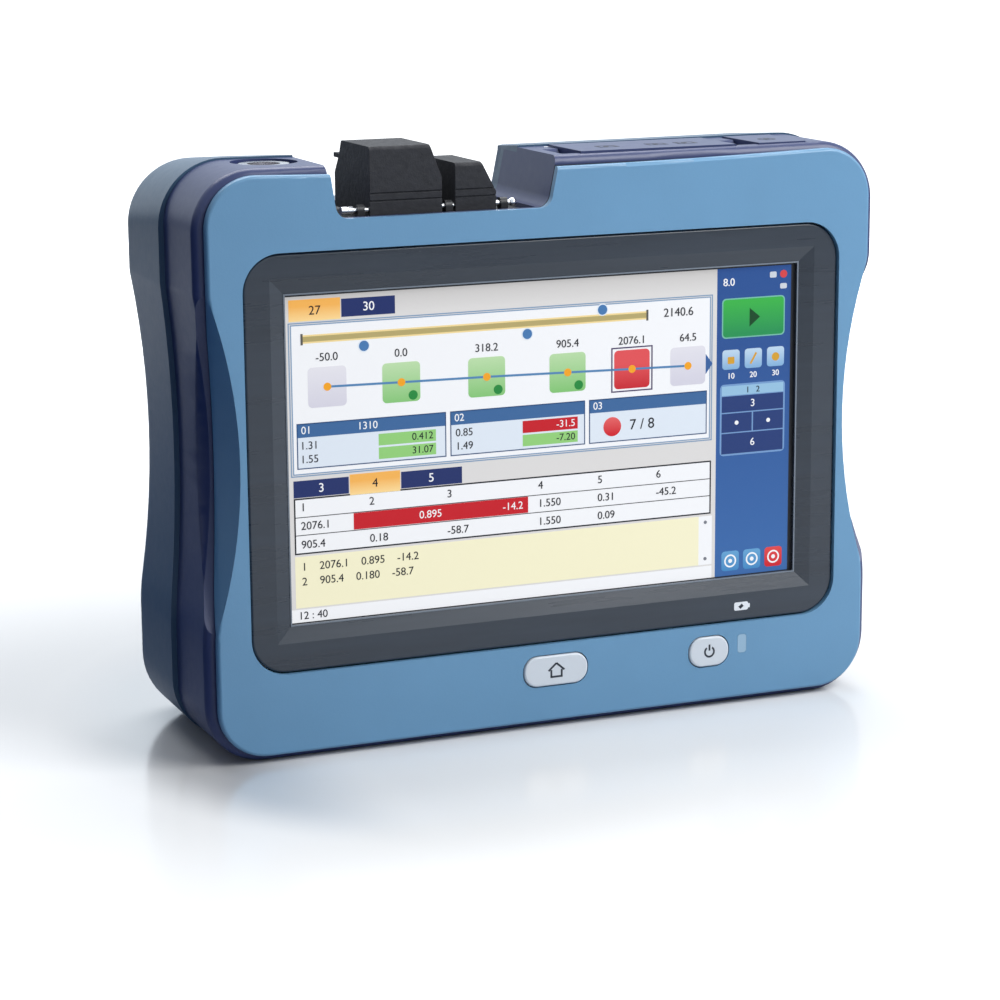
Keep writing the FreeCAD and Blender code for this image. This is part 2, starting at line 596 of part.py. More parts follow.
for count, (side, level) in enumerate(post_places):
    spot = {"x": f"{side} * dims.screw_x", "z": level}
    posts.append(rod("post_%d" % count, "Y", "dims.post_radius", "dims.core_rear - dims.rear_seam + 1",
                     y="dims.rear_seam", **spot))
    screw_wells.append(rod("screw_well_%d" % count, "Y", "dims.screw_head_radius", "20",
                           y=f"{rear_y} - dims.screw_sink", **spot))
    screw_bores.append(rod("screw_bore_%d" % count, "Y", "dims.screw_radius", "60",
                           y=f"{rear_y} - dims.screw_sink - dims.screw_length", **spot))
lid_sockets = [rod("lid_socket_%d" % count, "Y", "dims.lid_screw_radius + dims.hinge_gap", "12",
                   x=f"{side} * dims.lid_screw_x", y=f"{bay_rear} - dims.lid_screw_grip - 0.2",
                   z="dims.bay_level") for count, side in enumerate((-1, 1))]
rear_hollow = cut("rear_hollow_left", core_back, bay_shell, *posts)
rear_housing = cut("rear_housing", rear_form, rear_hollow, lining, notch, rear_flare, connector_recess, bay,
                   lid_recess, stand_recess, stand_fingers, stand_pin, *screw_wells, *screw_bores,
                   *lid_sockets)

heads = []
for count, (side, level) in enumerate(post_places):
    spot = {"x": f"{side} * dims.screw_x", "z": level}
    head = rod("screw_head_%d" % count, "Y", "dims.screw_head_radius - 0.3", "dims.screw_head_thick",
               y=f"{rear_y} - dims.screw_sink", **spot)
    shank = rod("screw_shank_%d" % count, "Y", "dims.screw_radius", "dims.screw_length",
                y=f"{rear_y} - dims.screw_sink - dims.screw_length", **spot)
    socket = rod("screw_socket_%d" % count, "Y", "dims.screw_radius * 0.7", "5",
                 y=f"{rear_y} - dims.screw_sink + dims.screw_head_thick * 0.4", **spot)
    heads.append(cut("screw_%d" % count, fuse("screw_blank_%d" % count, head, shank), socket))
rear_screws = doc.addObject("Part::Compound", "rear_screws")
rear_screws.Links = heads

# ---- battery, its lid and contacts

lid_blank = rounded_slab("lid_blank", "dims.lid_width", "dims.lid_height", "dims.lid_corner",
                         "dims.lid_thick", y=bay_rear, z="dims.bay_level")
lid_edge = number_of("dims.lid_thick")
dress(lid_blank, "Fillet", lid_blank.Tip, lies_at("y", lid_edge), "dims.lid_edge")


def lid_screw(label, side):
    spot = {"x": f"{side} * dims.lid_screw_x", "z": "dims.bay_level"}
    head = rod(label + "_head", "Y", "dims.lid_screw_head", "1.2",
               y=f"{rear_y} - dims.lid_screw_sink", **spot)
    shank = rod(label + "_shank", "Y", "dims.lid_screw_radius",
                "dims.lid_thick - 1.4 + dims.lid_screw_grip",
                y=f"{bay_rear} - dims.lid_screw_grip", **spot)
    slot = box(label + "_slot", (f"{side} * dims.lid_screw_x - 2", f"{side} * dims.lid_screw_x + 2"),
               (f"{rear_y} - 0.9", f"{rear_y}"), ("dims.bay_level - 0.35", "dims.bay_level + 0.35"))
    return cut(label, fuse(label + "_blank", head, shank), slot)


lid_wells = []
for count, side in enumerate((-1, 1)):
    spot = {"x": f"{side} * dims.lid_screw_x", "z": "dims.bay_level"}
    lid_wells.append(rod("lid_well_%d" % count, "Y", "dims.lid_screw_head", "10",
                         y=f"{rear_y} - dims.lid_screw_sink", **spot))
    lid_wells.append(rod("lid_bore_%d" % count, "Y", "dims.lid_screw_radius", "20",
                         y="25", **spot))
battery_lid = cut("battery_lid", lid_blank, *lid_wells)
lid_screws = doc.addObject("Part::Compound", "lid_screws")
lid_screws.Links = [lid_screw("lid_screw_0", -1), lid_screw("lid_screw_1", 1)]
battery_pack = rounded_slab("battery_pack", "dims.bay_width - 2.4", "dims.bay_height - 2.4", "4",
                            "dims.bay_depth - 3", y=f"{bay_rear} - dims.bay_depth + 2.2",
                            z="dims.bay_level")
battery_contacts = box("battery_contacts", ("-14", "14"),
                       (f"{bay_rear} - dims.bay_depth", f"{bay_rear} - dims.bay_depth + 1.8"),
                       ("dims.bay_level - 6", "dims.bay_level + 6"))

# ---- stand

stand = rounded_slab("stand_plate", "dims.stand_width", "dims.stand_height", "2.6",
                     "dims.stand_thick", y=f"{rear_y} - dims.stand_thick", z=stand_level)
stand_edge = number_of("dims.stand_height / 2")
dress(stand, "Fillet", stand.Tip, lies_at("z", stand_edge), "dims.stand_thick * 0.499")
stand_bore = rod("stand_bore", "X", "dims.stand_pin_radius + dims.hinge_gap", "300", x="-150",
                 y=stand_pin_y, z=stand_pin_level)
stand_notch = rod("stand_notch", "Y", "5", "30", y="10", z="dims.stand_top - dims.stand_height - 2")
stand.Label = "stand_blank"
stand = cut("stand", stand, stand_bore, stand_notch)

# ---- display stack

bezel_front = "-dims.bezel_front"
bezel_blank = rounded_slab("bezel_blank", "dims.bezel_width", "dims.bezel_height",
                           "dims.bezel_radius", "dims.bezel_thick", y=bezel_front,
                           z="dims.bezel_level")
dress(bezel_blank, "Fillet", bezel_blank.Tip, lies_at("y", 0.0), "0.7")
half_screen = "dims.screen_width / 2"
half_height = "dims.screen_height / 2"
slope = doc.addObject("Part::Wedge", "bezel_slope")
slope_reach = "dims.bezel_slope_width"
for name, expression in {
        "Xmin": f"-{half_screen} - {slope_reach}", "Xmax": f"{half_screen} + {slope_reach}",
        "Zmin": f"-{half_height} - {slope_reach}", "Zmax": f"{half_height} + {slope_reach}",
        "X2min": f"-{half_screen}", "X2max": half_screen, "Z2min": f"-{half_height}",
        "Z2max": half_height, "Ymin": "0", "Ymax": "dims.bezel_slope_depth"}.items():
    slope.setExpression(name, expression)
place(slope, y=bezel_front, z="dims.screen_level")
screen_opening = rounded_slab("screen_opening", "dims.screen_width", "dims.screen_height", "0.6",
                              "10", y=bezel_front, z="dims.screen_level")
bezel_frame = cut("bezel_frame", bezel_blank, slope, screen_opening)

glass_y = f"{bezel_front} + dims.bezel_thick"
touch_glass = rounded_slab("touch_glass", "dims.screen_width + 2 * dims.glass_margin",
                           "dims.screen_height + 2 * dims.glass_margin", "1.5",
                           "dims.glass_thick", y=glass_y, z="dims.screen_level")
panel_y = f"{glass_y} + dims.glass_thick"
lcd_panel = rounded_slab("lcd_panel", "dims.panel_width", "dims.panel_height", "1",
                         "dims.panel_thick", y=panel_y, z="dims.screen_level")
bracket_y = f"{panel_y} + dims.panel_thick"
lcd_bracket = rounded_slab("lcd_bracket", "dims.panel_width + 8", "dims.panel_height + 12", "4",
                           "dims.bracket_thick", y=bracket_y, z="dims.screen_level")
main_board = rounded_slab("main_board", "dims.main_board_width", "dims.main_board_height", "2",
                          "dims.board_thick", y="dims.board_y",
                          z="dims.board_level")
optical_module = rounded_slab("optical_module", "dims.module_width", "dims.module_height", "3",
                              "dims.module_thick", x="dims.module_x", y="dims.board_y + 2.4",
                              z="dims.board_level + dims.module_rise")

# ---- buttons

plate_rear = "-dims.front_seam"


def button(label, width, x):
    cap = rounded_slab(label + "_cap", width, "dims.button_height", "dims.button_height * 0.47",
                       "dims.body_depth / 2 + dims.button_proud - dims.front_seam", x=x,
                       y="-dims.body_depth / 2 - dims.button_proud", z="dims.button_level")
    dress(cap, "Fillet", cap.Tip, lies_at("y", 0.0), "0.6")
    flange = rounded_slab(label + "_flange", f"{width} + 2", "dims.button_height + 2",
                          "dims.button_height * 0.5", "dims.button_flange", x=x, y=plate_rear,
                          z="dims.button_level")
    return fuse(label, cap, flange)


home_button = button("home_button", "dims.home_width", "dims.home_x")
power_button = button("power_button", "dims.power_width", "dims.power_x")
membrane_y = f"{plate_rear} + dims.button_flange + dims.button_travel"
button_membrane = rounded_slab("button_membrane", "72", "12", "2", "dims.membrane_thick",
                               x="20", y=membrane_y, z="dims.button_level")
board_y = f"{membrane_y} + dims.membrane_thick"
button_board = rounded_slab("button_board", "82", "13", "1", "1.2", x="22", y=board_y,
                            z="dims.button_level")
led_window = rounded_slab("led_window", "dims.led_width - 0.1", "dims.led_height - 0.1",
                          "dims.led_width * 0.28", f"dims.body_depth / 2 + ({board_y})",
                          x="dims.led_x", y="-dims.body_depth / 2", z="dims.led_level")

# ---- connector bay: panel with ears, ports, hinge rod and the two dust caps

panel_plate = box("panel_plate", ("dims.panel_left + 0.1", "dims.panel_right - 0.1"),
                  ("dims.panel_front + 0.1", "dims.panel_rear - 0.1"),
                  ("dims.panel_top - dims.floor_thick", "dims.panel_top"))
ears = []
for count, left in enumerate(("dims.large_cap_left - 3.4", "dims.small_cap_left - 2.8",
                              "dims.small_cap_left + dims.small_cap_width + 1.4")):
    ears.append(box("ear_foot_%d" % count, (left, f"{left} + dims.ear_width"),
                    ("dims.rod_y - dims.ear_radius", "dims.rod_y + dims.ear_radius"),
                    ("dims.panel_top - 1", "dims.rod_level")))
    ears.append(rod("ear_top_%d" % count, "X", "dims.ear_radius", "dims.ear_width", x=left,
                    y="dims.rod_y", z="dims.rod_level"))
rod_spot = {"y": "dims.rod_y", "z": "dims.rod_level"}
rod_shank = rod("rod_shank", "X", "dims.rod_radius", "dims.rod_right - dims.rod_left",
                x="dims.rod_left", **rod_spot)
rod_sleeve = rod("rod_sleeve", "X", "dims.rod_sleeve_radius", "dims.rod_sleeve_length",
                 x="dims.rod_left", **rod_spot)
rod_ball = primitive("Sphere", "rod_ball", {"Radius": "dims.rod_ball_radius"}, x="dims.rod_right",
                     **rod_spot)
cap_hinge_rod = fuse("cap_hinge_rod", rod_shank, rod_sleeve, rod_ball)
large_cap_centre = "dims.large_cap_left + dims.large_cap_width / 2"
small_cap_centre = "dims.small_cap_left + dims.small_cap_width / 2 - 0.5"
small_port_y = "dims.port_y - 0.6"
connector_panel = cut("connector_panel", fuse("panel_blank", panel_plate, *ears), cap_hinge_rod)
port_spot = {"x": large_cap_centre, "y": "dims.port_y"}
port_flange = rod("port_flange", "Z", "dims.port_flange_radius", "dims.port_flange_thick",
                  z="dims.panel_top", **port_spot)
port_barrel = box("port_barrel", (f"{large_cap_centre} - dims.port_half_width",
                                   f"{large_cap_centre} + dims.port_half_width"),
                  ("dims.port_y - dims.port_half_length", "dims.port_y + dims.port_half_length"),
                  ("dims.panel_top", "dims.panel_top + dims.port_height"))
port_bore = rod("port_bore", "Z", "dims.port_bore", "dims.port_height",
                z="dims.panel_top + dims.bore_floor", **port_spot)
optical_port = cut("optical_port", fuse("port_blank", port_flange, port_barrel), port_bore)
optical_ferrule = rod("optical_ferrule", "Z", "dims.ferrule_radius", "dims.ferrule_height",
                      z="dims.panel_top + dims.bore_floor", **port_spot)
small_spot = {"x": small_cap_centre, "y": small_port_y}
small_flange = rod("small_port_flange", "Z", "dims.small_flange_radius", "dims.small_flange_thick",
                   z="dims.panel_top", **small_spot)
small_barrel = rod("small_port_barrel", "Z", "dims.small_barrel_radius", "dims.small_barrel_height",
                   z="dims.panel_top", **small_spot)
small_bore = rod("small_port_bore", "Z", "dims.ferrule_radius", "dims.small_barrel_height",
                 z="dims.panel_top + dims.bore_floor", **small_spot)
laser_port = cut("laser_port", fuse("small_port_blank", small_flange, small_barrel), small_bore)


def dust_cap(label, left, width, top, rear, slope_drop, corner_width, corner_drop):
    """A hollow cap on the rod: steep rear slope with a lift tab, right corner cut away."""
    front = "dims.rod_y - dims.knuckle_radius"
    body = new_body(label + "_body")
    profile = new_sketch(body, "YZ_Plane")
    draw_polygon(profile, [(front, "dims.cap_bottom"), (rear, "dims.cap_bottom"),
                           (rear, f"{top} - {slope_drop}"),
                           (f"{rear} - {slope_drop} * 0.42", f"{top} - {slope_drop} * 0.45"),
                           (f"{rear} - {slope_drop} * 0.62", top), (front, top)])
    pad(body, profile, width)
    place(body, x=left)
    crest = number_of(top)
    dress(body, "Fillet", body.Tip, lambda edge: lies_at("z", crest)(edge)
          and runs_along("x")(edge), "1.1")
    tab_top = f"{top} - {slope_drop} * 0.45"
    tab = box(label + "_tab", (f"{left} + 1.2", f"{left} + {width} * 0.55"),
              (f"{rear} - {slope_drop} * 0.6", f"{rear} + dims.tab_reach"),
              (f"{tab_top} - dims.tab_thick", tab_top))
    grooves = [box(f"{label}_groove_{count}", (f"{left} - 1", f"{left} + {width} + 1"),
                   (f"{front} - 1", f"{front} + dims.groove_size"), (level, f"{level} + dims.groove_size"))
               for count, level in enumerate(("dims.groove_low", "dims.groove_high"))]
    corner = doc.addObject("Part::Wedge", label + "_corner")
    right = f"{left} + {width}"
    for name, expression in {
            "Xmin": f"{right}", "Xmax": f"{right} + 10", "X2min": f"{right} - {corner_width}",
            "X2max": f"{right} + 10", "Zmin": "-40", "Zmax": "20", "Z2min": "-40", "Z2max": "20",
            "Ymin": "0", "Ymax": corner_drop}.items():
        corner.setExpression(name, expression)
    corner.Placement.Rotation = FreeCAD.Rotation(FreeCAD.Vector(1, 0, 0), 90)
    place(corner, y="-10", z=f"{top} - ({corner_drop})")
    wall = "dims.cap_wall"
    hollow = across_depth(label + "_hollow", [
        (f"{left} + {wall}", "dims.cap_bottom - 5"), (f"{right} - {wall}", "dims.cap_bottom - 5"),
        (f"{right} - {wall}", f"{top} - {corner_drop}"),
        (f"{right} - {corner_width} - {wall} * 0.6", f"{top} - {wall}"),
        (f"{left} + {wall}", f"{top} - {wall}")], front=f"{front} + 3.4",
        length=f"{rear} - {slope_drop} * 0.62 - {wall} - ({front} + 3.4)")
    bore = rod(label + "_bore", "X", "dims.rod_radius + dims.cap_bore_gap", "100", x="-100",
               y="dims.rod_y", z="dims.rod_level")
    return cut(label, fuse(label + "_blank", body, tab), corner, hollow, bore, *grooves)


large_cap = dust_cap("large_cap", "dims.large_cap_left", "dims.large_cap_width",
                     "dims.large_cap_top", "dims.large_cap_rear", "9", "3.4", "9")
small_cap = dust_cap("small_cap", "dims.small_cap_left", "dims.small_cap_width",
                     "dims.small_cap_top", "dims.small_cap_rear", "5", "4.2", "8")

# ---- power meter port

well_bottom = f"{body_top} - dims.meter_depth"
ring_blank = rod("ring_blank", "Z", "dims.ring_radius", "dims.meter_depth - 0.3",
                 x="dims.meter_x", y="dims.meter_y", z=well_bottom)
ring_bore = rod("ring_bore", "Z", "dims.ring_bore", "20", x="dims.meter_x", y="dims.meter_y",
                z=well_bottom)
meter_ring = cut("meter_ring", ring_blank, ring_bore)
meter_window = rod("meter_window", "Z", "dims.ring_bore", "1.2", x="dims.meter_x",
                   y="dims.meter_y", z=well_bottom)

# ---- service ports and their doors


def door(label, left, right):
    blank = box(label + "_plate", (left, right), ("dims.door_front", door_rear),
                (door_bottom, door_top))
    round_rear = "dims.door_thick / 2"
    strip = box(label + "_strip", (f"{left} - 1", f"{right} + 1"), (f"{door_rear} - {round_rear}",
                f"{door_rear} + 1"), (f"{door_bottom} - 1", f"{door_top} + 1"))
    hinge_round = rod(label + "_knuckle", "X", round_rear, f"{right} - ({left})", x=left, y=pin_y,
                      z=pin_level)
    bore = rod(label + "_bore", "X", "dims.door_pin_radius + dims.hinge_gap",
               f"{right} - ({left}) + 4", x=f"{left} - 2", y=pin_y, z=pin_level)
    return cut(label, fuse(label + "_blank", cut(label + "_front", blank, strip), hinge_round), bore)


port_door = door("port_door", "dims.door_left", door_right)
dc_door = door("dc_door", "dims.dc_door_left", dc_door_right)
bay_middle = f"(dims.door_front + 2 + {door_rear} - 4.5) / 2"


def jack(label, x, width, length, height, slot_width, slot_length):
    shell = box(label + "_shell", (f"{x} - {width} / 2", f"{x} + {width} / 2"),
                (f"{bay_middle} - {length} / 2", f"{bay_middle} + {length} / 2"),
                ("dims.bay_floor", f"dims.bay_floor + {height}"))
    slot = box(label + "_slot", (f"{x} - {slot_width} / 2", f"{x} + {slot_width} / 2"),
               (f"{bay_middle} - {slot_length} / 2", f"{bay_middle} + {slot_length} / 2"),
               ("dims.bay_floor + dims.jack_floor", "180"))
    return cut(label, shell, slot)


network_jack = jack("network_jack", "dims.network_x", "15.8", "13.6", "9.5", "11.8", "7.6")
usb_jacks = doc.addObject("Part::Compound", "usb_jacks")
usb_jacks.Links = [jack("usb_jack_%d" % count, f"dims.usb_x + {count} * dims.usb_pitch",
                        "5.8", "13.2", "dims.jack_height", "5.1", "12.5") for count in range(2)]
dc_middle = f"(dims.dc_door_left + {dc_door_right}) / 2"
dc_spot = {"x": dc_middle, "y": bay_middle}
dc_sleeve = rod("dc_sleeve", "Z", "dims.dc_sleeve_radius", "dims.jack_height", z="dims.bay_floor", **dc_spot)
dc_bore = rod("dc_bore", "Z", "dims.dc_bore", "dims.jack_height",
              z="dims.bay_floor + dims.jack_floor", **dc_spot)
dc_jack = cut("dc_jack", dc_sleeve, dc_bore)
dc_jack_pin = rod("dc_jack_pin", "Z", "dims.dc_pin_radius", "dims.dc_pin_height",
                  z="dims.bay_floor + dims.jack_floor", **dc_spot)

PIECES = [front_shell, housing_seal, mid_housing, rear_housing, rear_screws, battery_lid, lid_screws,
          battery_pack, battery_contacts, stand, stand_pin, bezel_frame, touch_glass, lcd_panel,
          lcd_bracket, main_board, optical_module, home_button, power_button, button_membrane,
          button_board, led_window, connector_panel, cap_hinge_rod, optical_port, optical_ferrule,
          laser_port, large_cap, small_cap, meter_ring, meter_window, port_door, port_door_pin,
          dc_door, dc_door_pin, network_jack, usb_jacks, dc_jack, dc_jack_pin]

doc.recompute()
failed = [thing.Label for thing in doc.Objects if {"Invalid", "Error"} & set(thing.State)]
failed += [piece.Label for piece in PIECES if piece.Shape.isNull() or not piece.Shape.isValid()]
if failed:
    raise RuntimeError("not built: " + ", ".join(failed))
os.makedirs("parts", exist_ok=True)
for piece in PIECES:
    piece.Shape.exportStep("parts/%s.step" % piece.Label)
    print("%-18s %3d solids %10.0f mm3" % (piece.Label, len(piece.Shape.Solids), piece.Shape.Volume))
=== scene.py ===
import json
from math import cos, pi, radians, sin
import bmesh
import bpy
from mathutils import Matrix, Vector


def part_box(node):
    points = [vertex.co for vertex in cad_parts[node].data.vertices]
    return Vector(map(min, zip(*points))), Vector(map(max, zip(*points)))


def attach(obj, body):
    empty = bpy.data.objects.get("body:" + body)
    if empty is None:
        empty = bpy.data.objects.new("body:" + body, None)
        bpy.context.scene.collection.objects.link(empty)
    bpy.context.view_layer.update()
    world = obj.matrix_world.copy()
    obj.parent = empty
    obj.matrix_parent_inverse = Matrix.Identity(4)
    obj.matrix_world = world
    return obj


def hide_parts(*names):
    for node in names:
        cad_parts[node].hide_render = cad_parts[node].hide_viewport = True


# Looks of a handheld optical time domain reflectometer, in metres.

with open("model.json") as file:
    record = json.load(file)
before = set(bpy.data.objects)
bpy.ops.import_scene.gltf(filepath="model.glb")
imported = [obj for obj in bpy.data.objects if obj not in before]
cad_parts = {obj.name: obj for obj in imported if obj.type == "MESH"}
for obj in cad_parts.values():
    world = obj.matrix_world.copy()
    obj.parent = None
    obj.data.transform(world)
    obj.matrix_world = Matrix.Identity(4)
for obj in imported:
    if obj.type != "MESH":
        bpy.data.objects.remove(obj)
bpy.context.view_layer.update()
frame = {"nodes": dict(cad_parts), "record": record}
print("frame loaded:", len(frame["nodes"]), "nodes")


def linear(red, green, blue):
    # a screen colour of 0 to 255 as the shader wants it
    parts = []
    for value in (red, green, blue):
        share = value / 255
        parts.append(share / 12.92 if share <= 0.04045 else ((share + 0.055) / 1.055) ** 2.4)
    return (*parts, 1.0)


# Shader arithmetic: a wire is a socket that takes part in Python expressions.

class Wire:
    def __init__(self, tree, socket):
        self.tree = tree
        self.socket = socket

    def joined(self, operation, first, second):
        node = self.tree.nodes.new("ShaderNodeMath")
        node.operation = operation
        for entry, value in zip(node.inputs, (first, second)):
            if isinstance(value, Wire):
                self.tree.links.new(value.socket, entry)
            else:
                entry.default_value = value
        return Wire(self.tree, node.outputs[0])

    def __add__(self, other):
        return self.joined("ADD", self, other)

    def __radd__(self, other):
        return self.joined("ADD", other, self)

    def __mul__(self, other):
        return self.joined("MULTIPLY", self, other)

    def __rmul__(self, other):
        return self.joined("MULTIPLY", other, self)

    def __sub__(self, other):
        return self.joined("SUBTRACT", self, other)

    def __rsub__(self, other):
        return self.joined("SUBTRACT", other, self)


class Finish:
    def __init__(self, name, colour, roughness, fixed=None):
        self.material = bpy.data.materials.new(name)
        self.material.use_nodes = True
        self.tree = self.material.node_tree
        self.shader = self.tree.nodes["Principled BSDF"]
        self.set("Base Color", colour)
        self.set("Roughness", roughness)
        for socket, value in (fixed or {}).items():
            self.set(socket, value)

    def set(self, socket, value):
        entry = self.shader.inputs[socket]
        if isinstance(value, Wire):
            self.tree.links.new(value.socket, entry)
        else:
            entry.default_value = value

    def node(self, kind, settings=None, sockets=None, out=0):
        made = self.tree.nodes.new("ShaderNode" + kind)
        for setting, value in (settings or {}).items():
            if setting == "stops":
                while len(made.color_ramp.elements) < len(value):
                    made.color_ramp.elements.new(0.5)
                for element, (spot, colour) in zip(made.color_ramp.elements, value):
                    element.position = spot
                    element.color = colour
            else:
                setattr(made, setting, value)
        for socket, value in (sockets or {}).items():
            if isinstance(value, Wire):
                self.tree.links.new(value.socket, made.inputs[socket])
            else:
                made.inputs[socket].default_value = value
        return Wire(self.tree, made.outputs[out])

    def place(self):
        return self.node("TexCoord", out="Object")

    def noise(self, scale, detail=2.0, rough=0.5):
        return self.node("TexNoise", sockets={"Vector": self.place(), "Scale": scale,
                                              "Detail": detail, "Roughness": rough})

    def mixed(self, factor, first, second):
        # colours only: inputs 6 and 7 and output 2 of the node are its colour sockets
        return self.node("Mix", {"data_type": "RGBA"}, {0: factor, 6: first, 7: second}, out=2)

    def bump(self, height, strength, distance):
        self.set("Normal", self.node("Bump", sockets={"Height": height, "Strength": strength,
                                                      "Distance": distance}))


def shade(colour, share):
    return (*[part * share for part in colour[:3]], 1.0)


# noise scales are waves per metre, depths are in metres
moulded = {"cloud": 38, "gloss": 420, "fine": 2600, "coarse": 900, "fineShare": 0.6,
           "swing": 0.1, "depth": 0.00012}


def mouldedPlastic(name, colour, roughness, grain, coat=0.0, tone=0.07):
    # spark-eroded mould grain, faint clouding of the colour and of the gloss
    finish = Finish(name, colour, roughness, {"Coat Weight": coat, "Coat Roughness": 0.25})
    cloud = finish.noise(moulded["cloud"], 3)
    finish.set("Base Color", finish.mixed(cloud, shade(colour, 1 - tone), shade(colour, 1 + tone)))
    swing = moulded["swing"]
    finish.set("Roughness", roughness - swing / 2 + finish.noise(moulded["gloss"], 3) * swing)
    share = moulded["fineShare"]
    fine, coarse = finish.noise(moulded["fine"], 2), finish.noise(moulded["coarse"], 2)
    finish.bump(fine * share + coarse * (1 - share), grain, moulded["depth"])
    return finish.material


mottled = {"patches": 330, "darkest": 0.45, "lightest": 1.6, "gloss": 520, "smoothest": 0.5,
           "swing": 0.35, "pits": 700, "fine": 2200, "pitShare": 0.7, "grain": 0.55,
           "depth": 0.00025}


def mottledPlastic(name, colour):
    # coarse eroded grain that breaks up the sheen
    finish = Finish(name, colour, 0.7)
    patches = finish.noise(mottled["patches"], 4, 0.7)
    finish.set("Base Color", finish.mixed(patches, shade(colour, mottled["darkest"]),
                                          shade(colour, mottled["lightest"])))
    gloss = finish.noise(mottled["gloss"], 3)
    finish.set("Roughness", mottled["smoothest"] + gloss * mottled["swing"])
    share = mottled["pitShare"]
    pits, fine = finish.noise(mottled["pits"], 3), finish.noise(mottled["fine"], 2)
    finish.bump(pits * share + fine * (1 - share), mottled["grain"], mottled["depth"])
    return finish.material


polished = {"coat": 0.45, "stretch": (14, 14, 190), "darkest": 0.6, "lightest": 1.5,
            "smoothest": 0.16, "swing": 0.26, "fine": 2400, "grain": 0.12, "depth": 0.0001}


def polishedBezel(name, colour):
    # smoother than the casing, with faint horizontal streaks of lighter and darker colour and of
    # gloss
    finish = Finish(name, colour, 0.3, {"Coat Weight": polished["coat"], "Coat Roughness": 0.14})
    stretched = finish.node("Mapping", sockets={"Vector": finish.place(),
                                                "Scale": polished["stretch"]})
    streaks = finish.node("TexNoise", sockets={"Vector": stretched, "Scale": 1.0, "Detail": 4.0,
                                               "Roughness": 0.6})
    finish.set("Base Color", finish.mixed(streaks, shade(colour, polished["darkest"]),
                                          shade(colour, polished["lightest"])))
    finish.set("Roughness", polished["smoothest"] + streaks * polished["swing"])
    finish.bump(finish.noise(polished["fine"], 2), polished["grain"], polished["depth"])
    return finish.material


turned = {"gloss": 1500, "swing": 0.08, "fine": 3500, "grain": 0.05, "depth": 0.00005}


def turnedMetal(name, colour, roughness=0.22):
    finish = Finish(name, colour, roughness, {"Metallic": 1.0})
    swing = turned["swing"]
    finish.set("Roughness", roughness - swing / 2 + finish.noise(turned["gloss"], 2) * swing)
    finish.bump(finish.noise(turned["fine"], 1), turned["grain"], turned["depth"])
    return finish.material


clear = {"coat": 0.6, "fine": 1800, "grain": 0.05, "depth": 0.00005}


def clearPlastic(name, colour, roughness=0.18):
    finish = Finish(name, colour, roughness, {"Coat Weight": clear["coat"], "Coat Roughness": 0.08})
    finish.bump(finish.noise(clear["fine"], 2), clear["grain"], clear["depth"])
    return finish.material


matt = {"smoothest": 0.62, "swing": 0.14, "gloss": 700, "fine": 1800, "grain": 0.3, "depth": 0.0001}


def rubber(name, colour):
    finish = Finish(name, colour, 0.7)
    finish.set("Roughness", matt["smoothest"] + finish.noise(matt["gloss"], 3) * matt["swing"])
    finish.bump(finish.noise(matt["fine"], 3), matt["grain"], matt["depth"])
    return finish.material


# Finishes of the casing and the fittings.

colours = {
    "frontShell": linear(103, 149, 184),
    "middleBand": linear(50, 60, 102),
    "rearShell": linear(60, 88, 114),
    "bezel": linear(38, 45, 55),
    "caps": linear(19, 19, 26),
    "buttons": linear(214, 219, 225),
    "symbols": linear(46, 50, 60),
    "black": linear(20, 20, 24),
    "seam": linear(18, 22, 44),
}

blueShell = mouldedPlastic("steel blue shell", colours["frontShell"], 0.38, 0.26, coat=0.15)
indigoBand = mouldedPlastic("indigo band", colours["middleBand"], 0.35, 0.22)
slateShell = mouldedPlastic("slate rear shell", colours["rearShell"], 0.34, 0.3)
bezelPlastic = polishedBezel("charcoal bezel", colours["bezel"])
capPlastic = mottledPlastic("black cap plastic", colours["caps"])
buttonPlastic = mouldedPlastic("pale button", colours["buttons"], 0.36, 0.15, tone=0.02)
blackPlastic = mouldedPlastic("black fittings", colours["black"], 0.45, 0.3)
sealRubber = rubber("dark seam seal", colours["seam"])
darkRubber = rubber("black rubber", linear(20, 20, 22))
nickel = turnedMetal("bright nickel", (0.78, 0.78, 0.8, 1))
steel = turnedMetal("screw steel", (0.5, 0.5, 0.52, 1), 0.3)
gold = turnedMetal("gold flash", (0.85, 0.62, 0.25, 1), 0.25)
alloy = turnedMetal("plain alloy", (0.6, 0.61, 0.63, 1), 0.4)
ceramic = clearPlastic("white ceramic", linear(232, 230, 222))
lightWindow = clearPlastic("frosted light window", linear(150, 182, 205), 0.35)
meterGlass = clearPlastic("dark meter window", linear(70, 24, 34), 0.12)
boardGreen = mouldedPlastic("circuit board", linear(24, 92, 58), 0.4, 0.1)
symbolInk = mouldedPlastic("dark symbol ink", colours["symbols"], 0.5, 0.05)
whiteInk = mouldedPlastic("white symbol ink", linear(232, 234, 238), 0.5, 0.05)

